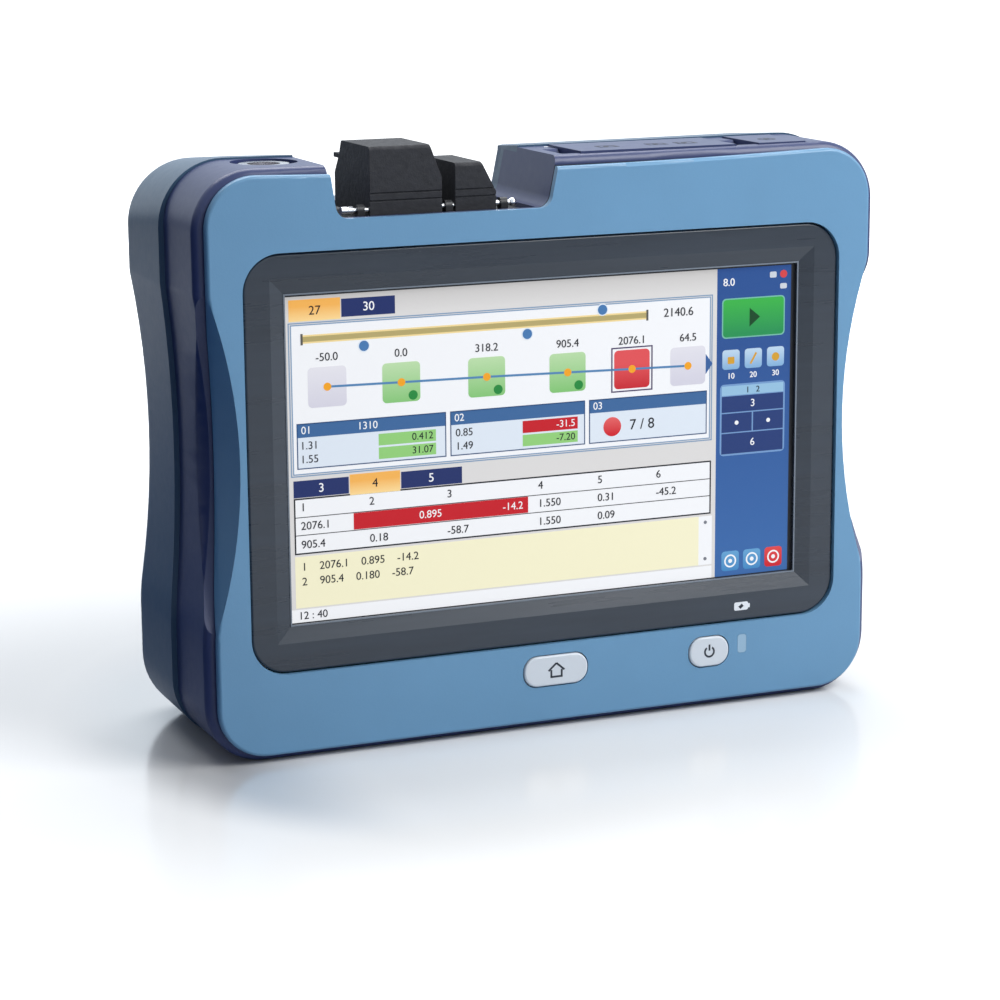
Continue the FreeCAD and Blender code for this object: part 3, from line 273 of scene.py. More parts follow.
finishes = {
    "front_shell": blueShell, "mid_housing": indigoBand, "rear_housing": slateShell,
    "housing_seal": sealRubber, "battery_lid": slateShell, "stand": slateShell,
    "rear_screws": steel, "lid_screws": steel, "stand_pin": steel, "cap_hinge_rod": nickel,
    "port_door_pin": steel, "dc_door_pin": steel, "bezel_frame": bezelPlastic,
    "touch_glass": blackPlastic, "lcd_panel": blackPlastic, "lcd_bracket": alloy,
    "main_board": boardGreen, "button_board": boardGreen, "optical_module": alloy,
    "home_button": buttonPlastic, "power_button": buttonPlastic, "button_membrane": darkRubber,
    "led_window": lightWindow, "connector_panel": blackPlastic, "optical_port": nickel,
    "laser_port": nickel, "optical_ferrule": ceramic, "large_cap": capPlastic,
    "small_cap": capPlastic, "meter_ring": nickel, "meter_window": meterGlass,
    "port_door": indigoBand, "dc_door": indigoBand, "network_jack": blackPlastic,
    "usb_jacks": nickel, "dc_jack": blackPlastic, "dc_jack_pin": nickel,
    "battery_pack": blackPlastic, "battery_contacts": gold,
}
for node, finish in finishes.items():
    held = frame["nodes"][node]
    held.data.materials.clear()
    held.data.materials.append(finish)
print("finishes set:", len(finishes))


# Rounded solids get a smooth skin: a merged copy, soft over its roundings and sharp at its edges.

smoothing = {"merge": 0.000002, "shortest": 1e-7, "flatWithin": radians(1),
             "sharpAbove": radians(32), "bezelSharpAbove": radians(14), "capEdge": 0.00045}
dustCaps = ("large_cap", "small_cap")
skins = {
    "casingFront": "front_shell", "casingMiddle": "mid_housing", "casingRear": "rear_housing",
    "bezelSkin": "bezel_frame", "largeCapSkin": "large_cap", "smallCapSkin": "small_cap",
    "portDoorSkin": "port_door", "dcDoorSkin": "dc_door", "homeButtonSkin": "home_button",
    "powerButtonSkin": "power_button", "standSkin": "stand", "batteryLidSkin": "battery_lid",
    "hingeRodSkin": "cap_hinge_rod", "meterRingSkin": "meter_ring",
    "opticalPortSkin": "optical_port",
}
bodyOf = {node: body for body, nodes in frame["record"]["behaviour"]["bodies"].items()
          for node in nodes}


def placed(name, mesh, material):
    data = bpy.data.meshes.new(name)
    mesh.to_mesh(data)
    mesh.free()
    data.materials.append(material)
    piece = bpy.data.objects.new(name, data)
    bpy.context.scene.collection.objects.link(piece)
    return piece


def smoothSkin(name, node):
    limit = smoothing["bezelSharpAbove" if node == "bezel_frame" else "sharpAbove"]
    mesh = bmesh.new()
    mesh.from_mesh(frame["nodes"][node].data)
    bmesh.ops.remove_doubles(mesh, verts=mesh.verts, dist=smoothing["merge"])
    bmesh.ops.dissolve_degenerate(mesh, edges=mesh.edges, dist=smoothing["shortest"])
    if node in dustCaps:
        bmesh.ops.dissolve_limit(mesh, angle_limit=smoothing["flatWithin"], verts=mesh.verts,
                                 edges=mesh.edges)
    for face in mesh.faces:
        face.smooth = True
    for edge in mesh.edges:
        edge.smooth = len(edge.link_faces) == 2 and edge.calc_face_angle(0) < limit
    piece = placed(name, mesh, finishes[node])
    if node in dustCaps:
        softened = piece.modifiers.new("soft edges", "BEVEL")
        softened.width, softened.segments, softened.limit_method = smoothing["capEdge"], 3, "ANGLE"
        softened.angle_limit = smoothing["sharpAbove"]
    weighted = piece.modifiers.new("even shading", "WEIGHTED_NORMAL")
    weighted.mode, weighted.weight, weighted.keep_sharp = "FACE_AREA", 100, True
    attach(piece, bodyOf[node])
    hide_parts(node)


for name, node in skins.items():
    smoothSkin(name, node)
print("smooth skins:", len(skins))


# Flat marks and the display's picture: outlines drawn in X and Y, then thickened and stood up.

def tile(mesh, x, y, width, height, corner=0.0):
    # x and y are the lower left corner
    made = bmesh.ops.create_grid(mesh, x_segments=1, y_segments=1, size=0.5)["verts"]
    bmesh.ops.scale(mesh, vec=(width, height, 1), verts=made)
    bmesh.ops.translate(mesh, vec=(x + width / 2, y + height / 2, 0), verts=made)
    if corner:
        bmesh.ops.bevel(mesh, geom=made, affect="VERTICES", offset=corner, segments=5,
                        profile=0.5, material=-1)


def disc(mesh, x, y, radius, sides=28):
    spot = Matrix.Translation((x, y, 0))
    bmesh.ops.create_circle(mesh, cap_ends=True, segments=sides, radius=radius, matrix=spot)


def hoop(mesh, x, y, radius, width, start=0.0, angle=2 * pi, steps=28):
    inner, outer = [mesh.verts.new((x + reach * cos(start), y + reach * sin(start), 0))
                    for reach in (radius - width, radius)]
    bmesh.ops.spin(mesh, geom=[inner, outer, mesh.edges.new((inner, outer))], cent=(x, y, 0),
                   axis=(0, 0, 1), angle=angle, steps=steps, use_merge=angle >= 2 * pi)


def outline(mesh, x0, y0, x1, y1, width):
    tile(mesh, x0, y0, x1 - x0, width)
    tile(mesh, x0, y1 - width, x1 - x0, width)
    tile(mesh, x0, y0 + width, width, y1 - y0 - 2 * width)
    tile(mesh, x1 - width, y0 + width, width, y1 - y0 - 2 * width)


def flat(mesh, *corners):
    mesh.faces.new([mesh.verts.new((x, y, 0)) for x, y in corners])


def stroke(mesh, start, end, width):
    along = (Vector(end) - Vector(start)).normalized()
    side = Vector((-along.y, along.x)) * width / 2
    flat(mesh, *[tuple(spot) for spot in (Vector(start) + side, Vector(start) - side,
                                          Vector(end) - side, Vector(end) + side)])


def figures(mesh, text, x, y, size, align="LEFT"):
    # plain numbers, middle of the line at y
    curve = bpy.data.curves.new("figures", "FONT")
    curve.body, curve.size, curve.align_x, curve.align_y = text, size, align, "CENTER"
    holder = bpy.data.objects.new("figures", curve)
    shape = bpy.data.meshes.new_from_object(holder)
    shape.transform(Matrix.Translation((x, y, 0)))
    mesh.from_mesh(shape)
    bpy.data.objects.remove(holder)
    bpy.data.curves.remove(curve)
    bpy.data.meshes.remove(shape)


def finished(name, mesh, material, body, place, thick):
    bmesh.ops.remove_doubles(mesh, verts=mesh.verts, dist=smoothing["shortest"])
    raised = bmesh.ops.extrude_face_region(mesh, geom=mesh.faces[:])["geom"]
    lifted = [part for part in raised if isinstance(part, bmesh.types.BMVert)]
    bmesh.ops.translate(mesh, vec=(0, 0, thick), verts=lifted)
    bmesh.ops.transform(mesh, matrix=place, verts=mesh.verts)
    bmesh.ops.recalc_face_normals(mesh, faces=mesh.faces)
    piece = placed(name, mesh, material)
    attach(piece, body)


facingFront = Matrix.Rotation(radians(90), 4, "X")  # drawing's x to +X, its y to +Z, up to -Y

# The display's picture, in layers on top of the glass.

display = {
    "margin": 0.002,        # the glass reaches this far under the bezel
    "gap": 0.00001,         # start of a drawing in front of the face that carries it
    "layer": 0.00004,       # one printed layer above the next
    "glow": 0.72,           # share of a colour that the display itself gives
    "sheen": 0.1,
    "line": 0.0003, "boldLine": 0.0004,
    "leftBorder": 0.0004, "rightBorder": 0.0013, "topBorder": 0.0006, "lowBorder": 0.0002,
}
glassLow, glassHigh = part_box("touch_glass")
screenLeft = glassLow.x + display["margin"] + display["leftBorder"]
screenBottom = glassLow.z + display["margin"] + display["lowBorder"]
screenWidth = glassHigh.x - display["margin"] - display["rightBorder"] - screenLeft
screenHeight = glassHigh.z - display["margin"] - display["topBorder"] - screenBottom


def glowing(name, colour, top=None, low=0.0, high=1.0):
    # an even colour, or one that runs to another between two heights of the picture
    finish = Finish(name, shade(colour, 1 - display["glow"]), 0.3,
                    {"Emission Color": colour, "Emission Strength": display["glow"],
                     "Specular IOR Level": 0.2, "Coat Weight": display["sheen"],
                     "Coat Roughness": 0.12})
    if top:
        height = finish.node("SeparateXYZ", sockets={0: finish.place()}, out=2)
        bottom = screenBottom + low * screenHeight
        run = (height - bottom) * (1 / ((high - low) * screenHeight))
        share = finish.node("Clamp", sockets={"Value": run})
        finish.set("Emission Color", finish.mixed(share, colour, top))
    return finish.material


def picture(name, colour, layer, draw, top=None, low=0.0, high=1.0):
    # draw works in shares of the display's width and in shares of its height
    mesh = bmesh.new()
    draw(mesh)
    corner = Vector((screenLeft, glassLow.y + display["gap"], screenBottom))
    place = Matrix.Translation(corner) @ facingFront
    finished(name, mesh, glowing(name, colour, top, low, high), "housing", place,
             display["layer"] * (layer + 1))


def across(share):
    return share * screenWidth


def up(share):
    return share * screenHeight


def block(mesh, left, bottom, right, high, corner=0.0):
    tile(mesh, across(left), up(bottom), across(right - left), up(high - bottom), corner)


def frameLine(mesh, left, bottom, right, high, width):
    outline(mesh, across(left), up(bottom), across(right), up(high), width)


def each(function, places):
    def draw(mesh):
        for spot in places:
            function(mesh, *spot)
    return draw


def dot(mesh, x, y, radius):
    disc(mesh, across(x), up(y), radius)


def dots(radius, places):
    return each(dot, [(x, y, radius) for x, y in places])


def pointer(left, low, right, high):
    # a triangle that points to the right
    middle = (low + high) / 2
    return lambda mesh: flat(mesh, (across(left), up(low)), (across(right), up(middle)),
                             (across(left), up(high)))


ink = linear(28, 30, 38)
white = linear(246, 247, 250)
navy = linear(34, 48, 104)
orange = linear(246, 166, 36)
red = linear(200, 26, 38)
steelBlue = linear(62, 104, 156)
paleBlue = linear(224, 233, 244)
sidebarLeft = 0.845

# the picture's grey ground, darker towards its top: painted shade of the bezel's top bar
picture("pictureBackgroundTopShade", linear(222, 220, 219), 0,
        each(block, [(0, 0, sidebarLeft, 1)]), linear(196, 193, 191), 0.93, 1.0)
picture("pictureSidebar", linear(58, 104, 168), 0,
        each(block, [(sidebarLeft, 0, 1, 1)]), linear(38, 72, 138), 0.1, 0.75)
picture("picturePanels", white, 1, each(block, [
    (0.008, 0.458, 0.832, 0.915), (0.008, 0.212, 0.835, 0.386), (0.81, 0.045, 0.838, 0.205),
    (0.0, 0.0, 0.838, 0.04)]))
picture("pictureRules", linear(128, 156, 188), 2, each(frameLine, [
    (0.004, 0.452, 0.836, 0.921, display["line"]), (0.008, 0.458, 0.832, 0.915, display["line"])]))
picture("pictureTableRules", ink, 2, each(frameLine, [
    (0.008, 0.212, 0.835, 0.386, display["boldLine"]), (0.008, 0.27, 0.835, 0.328, 0.00022)]))
picture("pictureNavyTabs", navy, 2, each(block, [
    (0.104, 0.93, 0.205, 0.985), (0.008, 0.388, 0.112, 0.44), (0.212, 0.388, 0.33, 0.44)]))
for name, shape, low, high in (("pictureUpperTab", (0.006, 0.925, 0.102, 0.99), 0.92, 0.97),
                               ("pictureLowerTab", (0.114, 0.382, 0.21, 0.446), 0.38, 0.425)):
    picture(name, linear(255, 222, 156), 3, each(block, [shape]), orange, low, high)

marks = {"marker": 0.0014, "markerRing": 0.0017, "event": 0.0011, "good": 0.0013, "trace": 0.0006,
         "scroll": 0.0005, "verdict": 0.0027, "lamp": 0.0011, "hoop": 0.0019, "hoopLine": 0.00045,
         "small": 0.0006, "round": 0.0012}
markers = [(0.145, 0.838), (0.46, 0.838), (0.61, 0.897)]

# fibre bar with its markers
picture("pictureFibreBar", linear(184, 168, 112), 3, each(block, [(0.03, 0.862, 0.70, 0.878)]))
picture("pictureFibreEdge", linear(246, 222, 158), 2, each(block, [(0.03, 0.857, 0.70, 0.883)]))
picture("pictureFibreEnds", linear(92, 90, 86), 4, each(block, [
    (0.027, 0.853, 0.031, 0.887), (0.699, 0.853, 0.703, 0.887)]))
picture("pictureMarkers", linear(72, 122, 178), 5, dots(marks["marker"], markers))
picture("pictureMarkerRings", linear(226, 236, 246), 4, dots(marks["markerRing"], markers))

# a stepped trace with an event plate at each step
events = [  # middle of the plate across and up, kind
    (0.075, 0.722, "plain"), (0.215, 0.718, "good"), (0.38, 0.714, "good"), (0.54, 0.708, "good"),
    (0.67, 0.703, "bad"), (0.785, 0.699, "plain")]
plate = {"half": 0.0054, "corner": 0.0012, "frameAcross": 0.042, "frameUp": 0.071, "frame": 0.00035}


def plates(kind):
    half = plate["half"]
    return [(across(x) - half, up(y) - half, 2 * half, 2 * half, plate["corner"])
            for x, y, found in events if found == kind]


picture("picturePlainPlates", linear(214, 212, 226), 3, each(tile, plates("plain")),
        linear(236, 235, 241), 0.65, 0.78)
picture("pictureGoodPlates", linear(132, 198, 118), 3, each(tile, plates("good")),
        linear(206, 232, 190), 0.65, 0.78)
picture("pictureBadPlate", linear(196, 22, 36), 3, each(tile, plates("bad")),
        linear(236, 96, 100), 0.63, 0.72)


def trace(mesh):
    spots = [(across(x), up(y)) for x, y, kind in events]
    for start, end in zip(spots, spots[1:]):
        stroke(mesh, start, end, marks["trace"])


picture("pictureTrace", linear(84, 134, 182), 4, trace)
picture("pictureEventMarks", orange, 5, dots(marks["event"], [(x, y) for x, y, kind in events]))
picture("pictureGoodMarks", linear(38, 138, 62), 5, dots(marks["good"], [
    (x + 0.022, y - 0.042) for x, y, kind in events if kind == "good"]))


def badFrame(mesh):
    for x, y, kind in events:
        if kind == "bad":
            frameLine(mesh, x - plate["frameAcross"], y - plate["frameUp"],
                      x + plate["frameAcross"], y + plate["frameUp"], plate["frame"])


picture("pictureBadFrame", linear(60, 44, 92), 4, badFrame)
picture("pictureArrow", linear(58, 98, 158), 4, pointer(0.822, 0.668, 0.836, 0.732))

# three boxes of results
results = {"low": 0.475, "header": 0.572, "top": 0.615,
           "sides": [(0.016, 0.30), (0.308, 0.575), (0.583, 0.825)]}
picture("pictureResults", paleBlue, 2, each(block, [
    (left, results["low"], right, results["top"]) for left, right in results["sides"]]))
picture("pictureHeaders", steelBlue, 3, each(block, [
    (left, results["header"], right, results["top"]) for left, right in results["sides"]]))
picture("pictureResultFrames", linear(58, 82, 122), 3, each(frameLine, [
    (left, results["low"], right, results["top"], display["line"])
    for left, right in results["sides"]]))
picture("pictureGreenCells", linear(148, 208, 122), 3, each(block, [
    (0.17, 0.528, 0.28, 0.564), (0.17, 0.486, 0.28, 0.522), (0.45, 0.486, 0.56, 0.522)]))
picture("pictureRedCells", red, 4, each(block, [
    (0.45, 0.528, 0.56, 0.566), (0.12, 0.274, 0.46, 0.325)]))
picture("pictureVerdict", linear(210, 30, 42), 4, dots(marks["verdict"], [(0.63, 0.524)]),
        linear(240, 120, 120), 0.5, 0.56)
picture("pictureNote", linear(248, 243, 208), 2, each(block, [(0.008, 0.045, 0.81, 0.205)]))
picture("pictureScroll", linear(120, 124, 134), 3, dots(marks["scroll"], [
    (0.824, 0.185), (0.824, 0.065)]))

# the sidebar
picture("pictureStart", linear(40, 146, 84), 2, each(block, [
    (0.858, 0.78, 0.985, 0.9, 0.001)]), linear(66, 190, 70), 0.79, 0.89)
picture("pictureStartEdge", linear(120, 190, 170), 1, each(block, [
    (0.8555, 0.776, 0.9875, 0.904, 0.0012)]))
picture("pictureKeys", linear(134, 178, 218), 2, each(block, [
    (0.857, 0.676, 0.893, 0.739, 0.0009), (0.904, 0.676, 0.94, 0.739, 0.0009),
    (0.951, 0.676, 0.987, 0.739, 0.0009)]), linear(206, 226, 242), 0.68, 0.735)
picture("pictureMenuEdge", linear(118, 156, 204), 1, each(block, [
    (0.853, 0.396, 0.99, 0.628, 0.0012)]))
picture("pictureMenuHead", linear(150, 192, 222), 2, each(block, [(0.8565, 0.592, 0.9865, 0.622)]))
picture("pictureMenu", linear(38, 60, 118), 2, each(block, [
    (0.8565, 0.537, 0.9865, 0.589), (0.8565, 0.472, 0.92, 0.533), (0.923, 0.472, 0.9865, 0.533),
    (0.8565, 0.402, 0.9865, 0.468)]))
picture("pictureBlueKeys", linear(70, 138, 196), 2, each(block, [
    (0.859, 0.016, 0.896, 0.081, 0.001), (0.905, 0.016, 0.942, 0.081, 0.001)]),
    linear(112, 172, 216), 0.02, 0.08)
picture("pictureRedKey", linear(206, 32, 44), 2, each(block, [
    (0.951, 0.016, 0.988, 0.081, 0.001)]), linear(232, 84, 84), 0.02, 0.08)


def sidebarMarks(mesh):
    keyMiddle, menuMiddle = 0.0485, 0.502
    for x in (0.8775, 0.9235, 0.9695):
        hoop(mesh, across(x), up(keyMiddle), marks["hoop"], marks["hoopLine"])
        dot(mesh, x, keyMiddle, marks["small"])
    for x in (0.888, 0.955):
        dot(mesh, x, menuMiddle, marks["small"])


picture("pictureSidebarMarks", white, 3, sidebarMarks)
picture("pictureStatusLamps", linear(214, 70, 74), 2, dots(marks["lamp"], [(0.984, 0.972)]))
picture("pictureStatusKeys", linear(206, 212, 222), 2, each(block, [
    (0.977, 0.925, 0.991, 0.942, 0.0004), (0.955, 0.962, 0.969, 0.981, 0.0004)]))


def keyMarks(mesh):
    tile(mesh, across(0.868), up(0.694), 0.0021, 0.002, 0.0003)
    stroke(mesh, (across(0.916), up(0.69)), (across(0.928), up(0.725)), marks["trace"])
    dot(mesh, 0.969, 0.707, marks["round"])


picture("pictureKeyMarks", linear(214, 160, 50), 3, keyMarks)
picture("pictureStartMark", linear(18, 70, 34), 3, pointer(0.913, 0.81, 0.935, 0.87))

# heights of the figures
heights = {"tab": 0.0034, "value": 0.0031, "row": 0.003, "cell": 0.0028, "header": 0.0029,
           "verdict": 0.0042, "menu": 0.0024, "key": 0.0023}


def numbers(mesh, height, align, *entries):
    for text, x, middle in entries:
        figures(mesh, text, across(x), up(middle), heights[height], align)


def darkFigures(mesh):
    numbers(mesh, "tab", "CENTER", ("27", 0.054, 0.955), ("4", 0.162, 0.413),
            ("2140.6", 0.765, 0.872))
    readings = ("-50.0", "0.0", "318.2", "905.4", "2076.1", "64.5")
    numbers(mesh, "value", "CENTER", *[(text, x, y + 0.09)
                                       for (x, y, kind), text in zip(events, readings)])
    numbers(mesh, "row", "LEFT", ("1.31", 0.022, 0.546), ("1.55", 0.022, 0.504),
            ("0.85", 0.318, 0.546), ("1.49", 0.318, 0.504))
    numbers(mesh, "cell", "RIGHT", ("0.412", 0.275, 0.546), ("31.07", 0.275, 0.504),
            ("-7.20", 0.555, 0.504))
    numbers(mesh, "verdict", "LEFT", ("7 / 8", 0.665, 0.524))
    columns = (0.02, 0.15, 0.30, 0.48, 0.60, 0.72)
    for middle, texts in ((0.357, ("1", "2", "3", "4", "5", "6")),
                          (0.299, ("2076.1", "", "", "1.550", "0.31", "-45.2")),
                          (0.241, ("905.4", "0.18", "-58.7", "1.550", "0.09", ""))):
        numbers(mesh, "value", "LEFT", *[(text, x, middle)
                                         for x, text in zip(columns, texts) if text])
    numbers(mesh, "value", "LEFT", ("1    2076.1    0.895    -14.2", 0.02, 0.172),
            ("2    905.4    0.180    -58.7", 0.02, 0.126))
    numbers(mesh, "row", "LEFT", ("12 : 40", 0.012, 0.02))
    numbers(mesh, "menu", "CENTER", ("1   2", 0.9215, 0.606))


def whiteFigures(mesh):
    numbers(mesh, "tab", "CENTER", ("30", 0.155, 0.957), ("3", 0.06, 0.413), ("5", 0.27, 0.413))
    numbers(mesh, "header", "LEFT", ("01", 0.024, 0.593), ("1310", 0.13, 0.593),
            ("02", 0.316, 0.593), ("03", 0.591, 0.593))
    numbers(mesh, "cell", "RIGHT", ("-31.5", 0.555, 0.547))
    numbers(mesh, "row", "RIGHT", ("0.895", 0.29, 0.299), ("-14.2", 0.45, 0.299))
    numbers(mesh, "row", "LEFT", ("8.0", 0.857, 0.955))
    numbers(mesh, "row", "CENTER", ("3", 0.9215, 0.562), ("6", 0.9215, 0.435))
    numbers(mesh, "key", "CENTER", ("10", 0.875, 0.654), ("20", 0.922, 0.654), ("30", 0.969, 0.654))


picture("pictureDarkFigures", ink, 5, darkFigures)
picture("pictureWhiteFigures", white, 5, whiteFigures)
print("display drawn")


# A painted highlight on the edge where the bezel meets the glass, and the symbols.

# a thin lighter grey ring down the bezel's slope around the glass: a painted highlight of that edge
edgeHighlight = {"width": 0.0004, "depth": 0.0017, "thick": 0.0003, "colour": linear(118, 126, 136)}


def bezelEdgeHighlight():
    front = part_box("bezel_frame")[0].y
    margin, line = display["margin"], edgeHighlight["width"]
    width = glassHigh.x - glassLow.x - 2 * margin
    height = glassHigh.z - glassLow.z - 2 * margin
    mesh = bmesh.new()
    outline(mesh, -line, -line, width + line, height + line, line)
    corner = Vector((glassLow.x + margin, front + edgeHighlight["depth"], glassLow.z + margin))
    # its lighter grey is painted highlight
    paintedHighlight = mouldedPlastic("bezel edge painted highlight", edgeHighlight["colour"], 0.25, 0.05)
    finished("bezelEdgeHighlight", mesh, paintedHighlight, "housing",
             Matrix.Translation(corner) @ facingFront, edgeHighlight["thick"])


symbols = {"ink": 0.00006, "lineWidth": 0.00055}


def onFront(node):
    low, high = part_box(node)
    middle = (low + high) / 2
    return Matrix.Translation((middle.x, low.y + display["gap"], middle.z)) @ facingFront


house = {"size": 0.0021, "eave": 1.15, "wall": 0.75, "foot": 0.85, "wallTop": 0.1}


def houseSymbol():
    size, width = house["size"], symbols["lineWidth"]
    # eave, wall and foot are shares of the size
    wall, wallTop, foot = size * house["wall"], size * house["wallTop"], -size * house["foot"]
    mesh = bmesh.new()
    for side in (-1, 1):
        stroke(mesh, (0, size), (side * size * house["eave"], 0), width)
        stroke(mesh, (side * wall, wallTop), (side * wall, foot), width)
    stroke(mesh, (-wall - width / 2, foot), (wall + width / 2, foot), width)
    finished("houseSymbol", mesh, symbolInk, "home_button",
             onFront("home_button"), symbols["ink"])


power = {"radius": 0.0017, "start": radians(125), "angle": radians(290), "low": 0.2, "high": 1.25}


def powerSymbol():
    size, width = power["radius"], symbols["lineWidth"]
    mesh = bmesh.new()
    hoop(mesh, 0, 0, size, width, start=power["start"], angle=power["angle"], steps=24)
    stroke(mesh, (0, size * power["low"]), (0, size * power["high"]), width)
    finished("powerSymbol", mesh, symbolInk, "power_button",
             onFront("power_button"), symbols["ink"])


battery = {"right": 0.0291, "rise": 0.0041, "width": 0.0044, "height": 0.0024, "corner": 0.0005,
           "pole": (0.0006, 0.0012),
           "bolt": (((0.0002, 0.0007), (-0.0008, -0.0001), (0.0009, -0.0001)),
                    ((-0.0002, -0.0008), (0.0008, 0.0), (-0.0009, 0.0)))}


def batterySymbol():
    low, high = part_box("bezel_frame")
    corner = Vector((high.x - battery["right"], low.y + display["gap"], low.z + battery["rise"]))
    spot = Matrix.Translation(corner) @ facingFront
    width, height = battery["width"], battery["height"]
    poleWidth, poleHeight = battery["pole"]
    mesh = bmesh.new()
    tile(mesh, -width / 2, -height / 2, width, height, battery["corner"])
    tile(mesh, width / 2, -poleHeight / 2, poleWidth, poleHeight)
    finished("batterySymbol", mesh, whiteInk, "housing", spot, symbols["ink"])
    mesh = bmesh.new()
    for triangle in battery["bolt"]:
        flat(mesh, *triangle)
    finished("batteryBolt", mesh, symbolInk, "housing", spot, 2 * symbols["ink"])


doors = {"spots": (0.25, 0.57, 0.76), "half": 0.0026, "low": 0.8, "rise": 1.4, "line": 0.0006,
         "pin": 0.0008, "powerPin": 0.0009, "forward": 0.002}


def onTop(node):
    low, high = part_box(node)
    y = (low.y + high.y) / 2 - doors["forward"]
    return low, high, Matrix.Translation((0, y, high.z - display["gap"]))


def doorSymbols():
    # small pictograms on top of the doors, read from the front
    half, line = doors["half"], doors["line"]
    low, high, spot = onTop("port_door")
    mesh = bmesh.new()
    for share in doors["spots"]:
        middle = low.x + (high.x - low.x) * share
        for turn in range(2):
            tile(mesh, middle - half, half * (turn * doors["rise"] - doors["low"]), 2 * half, line)
            tile(mesh, middle - half + turn * 2 * half, -half * doors["low"], line,
                 2 * half * doors["low"])
        disc(mesh, middle, 0, doors["pin"], 16)
    finished("portSymbols", mesh, symbolInk, "port_door", spot, symbols["ink"])
    low, high, spot = onTop("dc_door")
    middle = (low.x + high.x) / 2
    mesh = bmesh.new()
    hoop(mesh, middle, 0, half, line)
    disc(mesh, middle, 0, doors["powerPin"], 16)
    finished("powerSocketSymbol", mesh, symbolInk, "dc_door", spot, symbols["ink"])


bezelEdgeHighlight()
houseSymbol()
powerSymbol()
batterySymbol()
doorSymbols()
print("symbols drawn")


# Floor, card, surroundings, lamps and camera. A fade's two distances are from the middle.

ground = {
    "size": 6.0, "white": 0.93,
    "mirror": 0.21, "mirrorBlur": 0.16, "mirrorReach": (0.09, 0.29),
    "footMirror": 1.9, "footSide": (-0.1, -0.06), "footReach": (0.108, 0.136),
    "lift": (0.02, 0.95), "liftReach": (0.13, 1.0),
    "brightBounce": (0.58, 0.62, 0.67, 1), "deepBounce": linear(20, 52, 92),
    "deepSide": (-0.17, -0.05), "deepReach": (0.34, 0.66),
}


def makeFloor():
    # white to the eye, with a faint mirror near the foot; what it throws back is deep on the left
    mesh = bmesh.new()
    bmesh.ops.create_grid(mesh, x_segments=1, y_segments=1, size=ground["size"])
    level = ground["white"]
    finish = Finish("white floor", (level, level, level, 1), 0.5, {"Specular IOR Level": 0.0})
    tree = finish.tree
    away = finish.node("VectorMath", {"operation": "LENGTH"}, {0: finish.place()}, out=1)
    sideways = finish.node("SeparateXYZ", sockets={0: finish.place()}, out=0)
    seen = finish.node("LightPath", out="Is Camera Ray")

    def fade(value, reach, low=1.0, high=0.0):
        return finish.node("MapRange", {"interpolation_type": "SMOOTHSTEP"}, {
            "Value": value, "From Min": reach[0], "From Max": reach[1], "To Min": low,
            "To Max": high})

    def shader(kind, colour, roughness=0.0):
        made = tree.nodes.new("ShaderNodeBsdf" + kind)
        made.inputs["Color"].default_value = colour
        made.inputs["Roughness"].default_value = roughness
        return made.outputs[0]

    def mixedShader(factor, first, second):
        mix = tree.nodes.new("ShaderNodeMixShader")
        tree.links.new(factor.socket, mix.inputs["Fac"])
        tree.links.new(first, mix.inputs[1])
        tree.links.new(second, mix.inputs[2])
        return mix.outputs[0]

    lift = seen * fade(away, ground["liftReach"], *ground["lift"])
    finish.set("Emission Color", finish.mixed(lift, (0, 0, 0, 1), (1, 1, 1, 1)))
    finish.set("Emission Strength", 1.0)
    atFoot = fade(sideways, ground["footSide"]) * fade(away, ground["footReach"])
    mirror = fade(away, ground["mirrorReach"], ground["mirror"], 0.0)
    mirror = mirror * (1 + atFoot * ground["footMirror"])
    gloss = shader("Glossy", (0.8, 0.8, 0.8, 1), ground["mirrorBlur"])
    face = mixedShader(mirror, finish.shader.outputs[0], gloss)
    deep = fade(sideways, ground["deepSide"]) * fade(away, ground["deepReach"])
    bounce = mixedShader(deep, shader("Diffuse", ground["brightBounce"]),
                         shader("Diffuse", ground["deepBounce"]))
    whole = mixedShader(seen, bounce, face)
    tree.links.new(whole, tree.nodes["Material Output"].inputs["Surface"])
    placed("floor", mesh, finish.material)


flag = {"side": -0.32, "front": -0.3, "rear": 0.46, "low": 0.04, "high": 0.21,
        "colour": linear(16, 46, 88)}


def makeFlag():
    # a dark card low on the left, which keeps that side of the casing deep
    mesh = bmesh.new()
    mesh.faces.new([mesh.verts.new((flag["side"], flag[y], flag[z])) for y, z in (
        ("front", "low"), ("rear", "low"), ("rear", "high"), ("front", "high"))])
    card = placed("darkCard", mesh, Finish("dark card", flag["colour"], 0.9).material)
    card.visible_camera = False


sky = {"soft": 0.36, "mirrored": 0.98, "tint": (0.82, 0.91, 1.0, 1)}


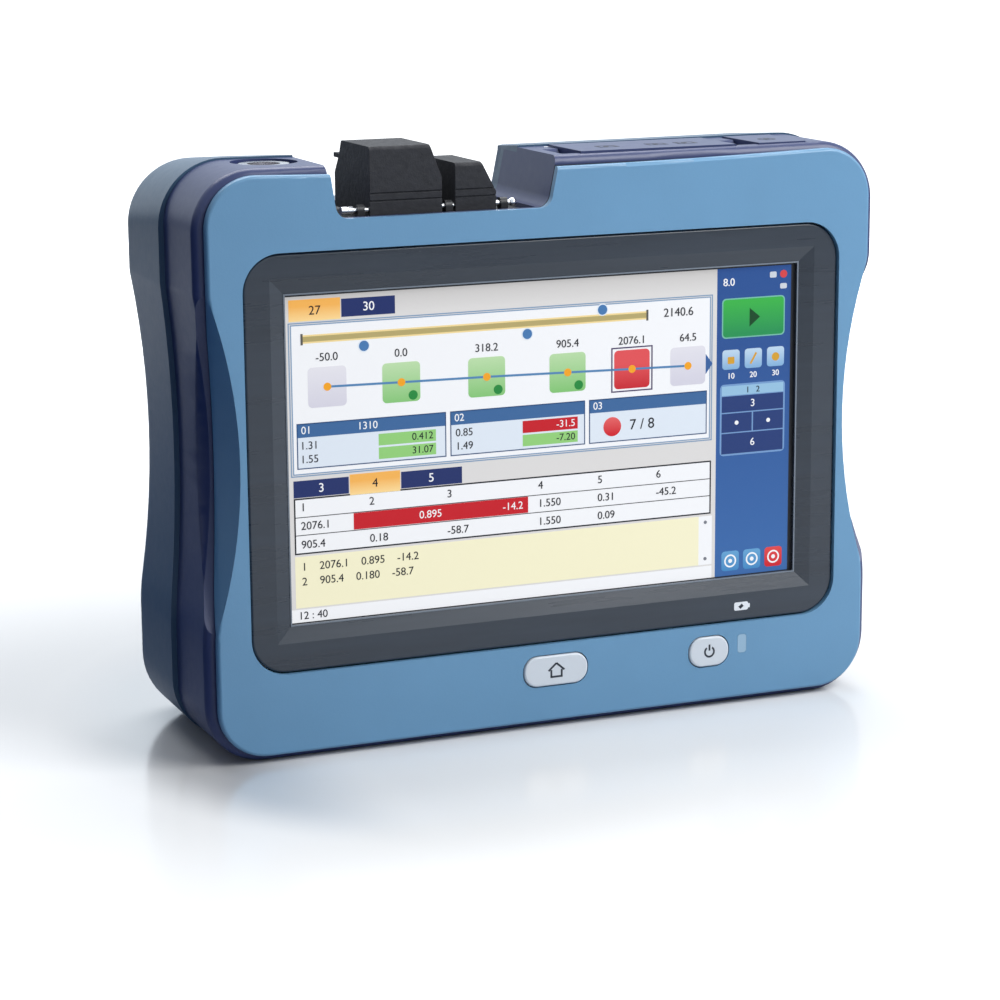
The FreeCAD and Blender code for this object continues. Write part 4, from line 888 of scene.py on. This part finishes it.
def makeWorld():
    # plain white to the eye, softer and a little cool as light, stronger in what is glossy
    world = bpy.data.worlds.new("studio")
    bpy.context.scene.world = world
    world.use_nodes = True
    tree = world.node_tree
    soft = tree.nodes["Background"]
    soft.inputs["Color"].default_value = sky["tint"]
    plain = tree.nodes.new("ShaderNodeBackground")
    plain.inputs["Color"].default_value = (1, 1, 1, 1)
    path = tree.nodes.new("ShaderNodeLightPath")
    seen, mirrored, through = [Wire(tree, path.outputs[ray]) for ray in (
        "Is Camera Ray", "Is Glossy Ray", "Is Transmission Ray")]
    strength = sky["soft"] + mirrored * (sky["mirrored"] - sky["soft"])
    tree.links.new(strength.socket, soft.inputs["Strength"])
    mix = tree.nodes.new("ShaderNodeMixShader")
    tree.links.new((seen + through).socket, mix.inputs["Fac"])
    tree.links.new(soft.outputs[0], mix.inputs[1])
    tree.links.new(plain.outputs[0], mix.inputs[2])
    tree.links.new(mix.outputs[0], tree.nodes["World Output"].inputs["Surface"])


def aimed(name, data, aim, look):
    # puts a lamp or the camera at its distance from the aim and turns it there
    holder = bpy.data.objects.new(name, data)
    bpy.context.scene.collection.objects.link(holder)
    turn, rise = radians(look["azimuth"]), radians(look["elevation"])
    away = Vector((sin(turn) * cos(rise), -cos(turn) * cos(rise), sin(rise)))
    holder.location = aim + away * look["distance"]
    holder.rotation_mode = "QUATERNION"
    holder.rotation_quaternion = away.to_track_quat("Z", "Y")
    return holder


lamps = {
    "keyLight": {"azimuth": 44, "elevation": 40, "distance": 0.95,
                 "size": (0.6, 0.6), "power": 8.5},
    "topLight": {"azimuth": 175, "elevation": 62, "distance": 1.3,
                 "size": (1.2, 0.8), "power": 14},
}
lampAim = Vector((0, 0, 0.08))


def softbox(name, look):
    lamp = bpy.data.lights.new(name, "AREA")
    lamp.shape, lamp.energy = "RECTANGLE", look["power"]
    lamp.size, lamp.size_y = look["size"]
    aimed(name, lamp, lampAim, look)


view = {"azimuth": -22.56, "elevation": 12.30, "roll": -0.41, "distance": 0.82045, "lens": 103.4,
        "aim": (-0.00203, 0, 0.05853)}


def makeCamera():
    data = bpy.data.cameras.new("camera")
    data.sensor_width, data.lens = 36.0, view["lens"]
    data.clip_start, data.clip_end = 0.01, 50
    camera = aimed("camera", data, Vector(view["aim"]), view)
    level = camera.rotation_quaternion.to_matrix()
    tilt = Matrix.Rotation(radians(view["roll"]), 3, "Z")
    camera.rotation_quaternion = (level @ tilt).to_quaternion()
    bpy.context.scene.camera = camera


makeFloor()
makeFlag()
makeWorld()
for name, look in lamps.items():
    softbox(name, look)
makeCamera()
bpy.context.scene.view_settings.view_transform = "Standard"
print("studio set")
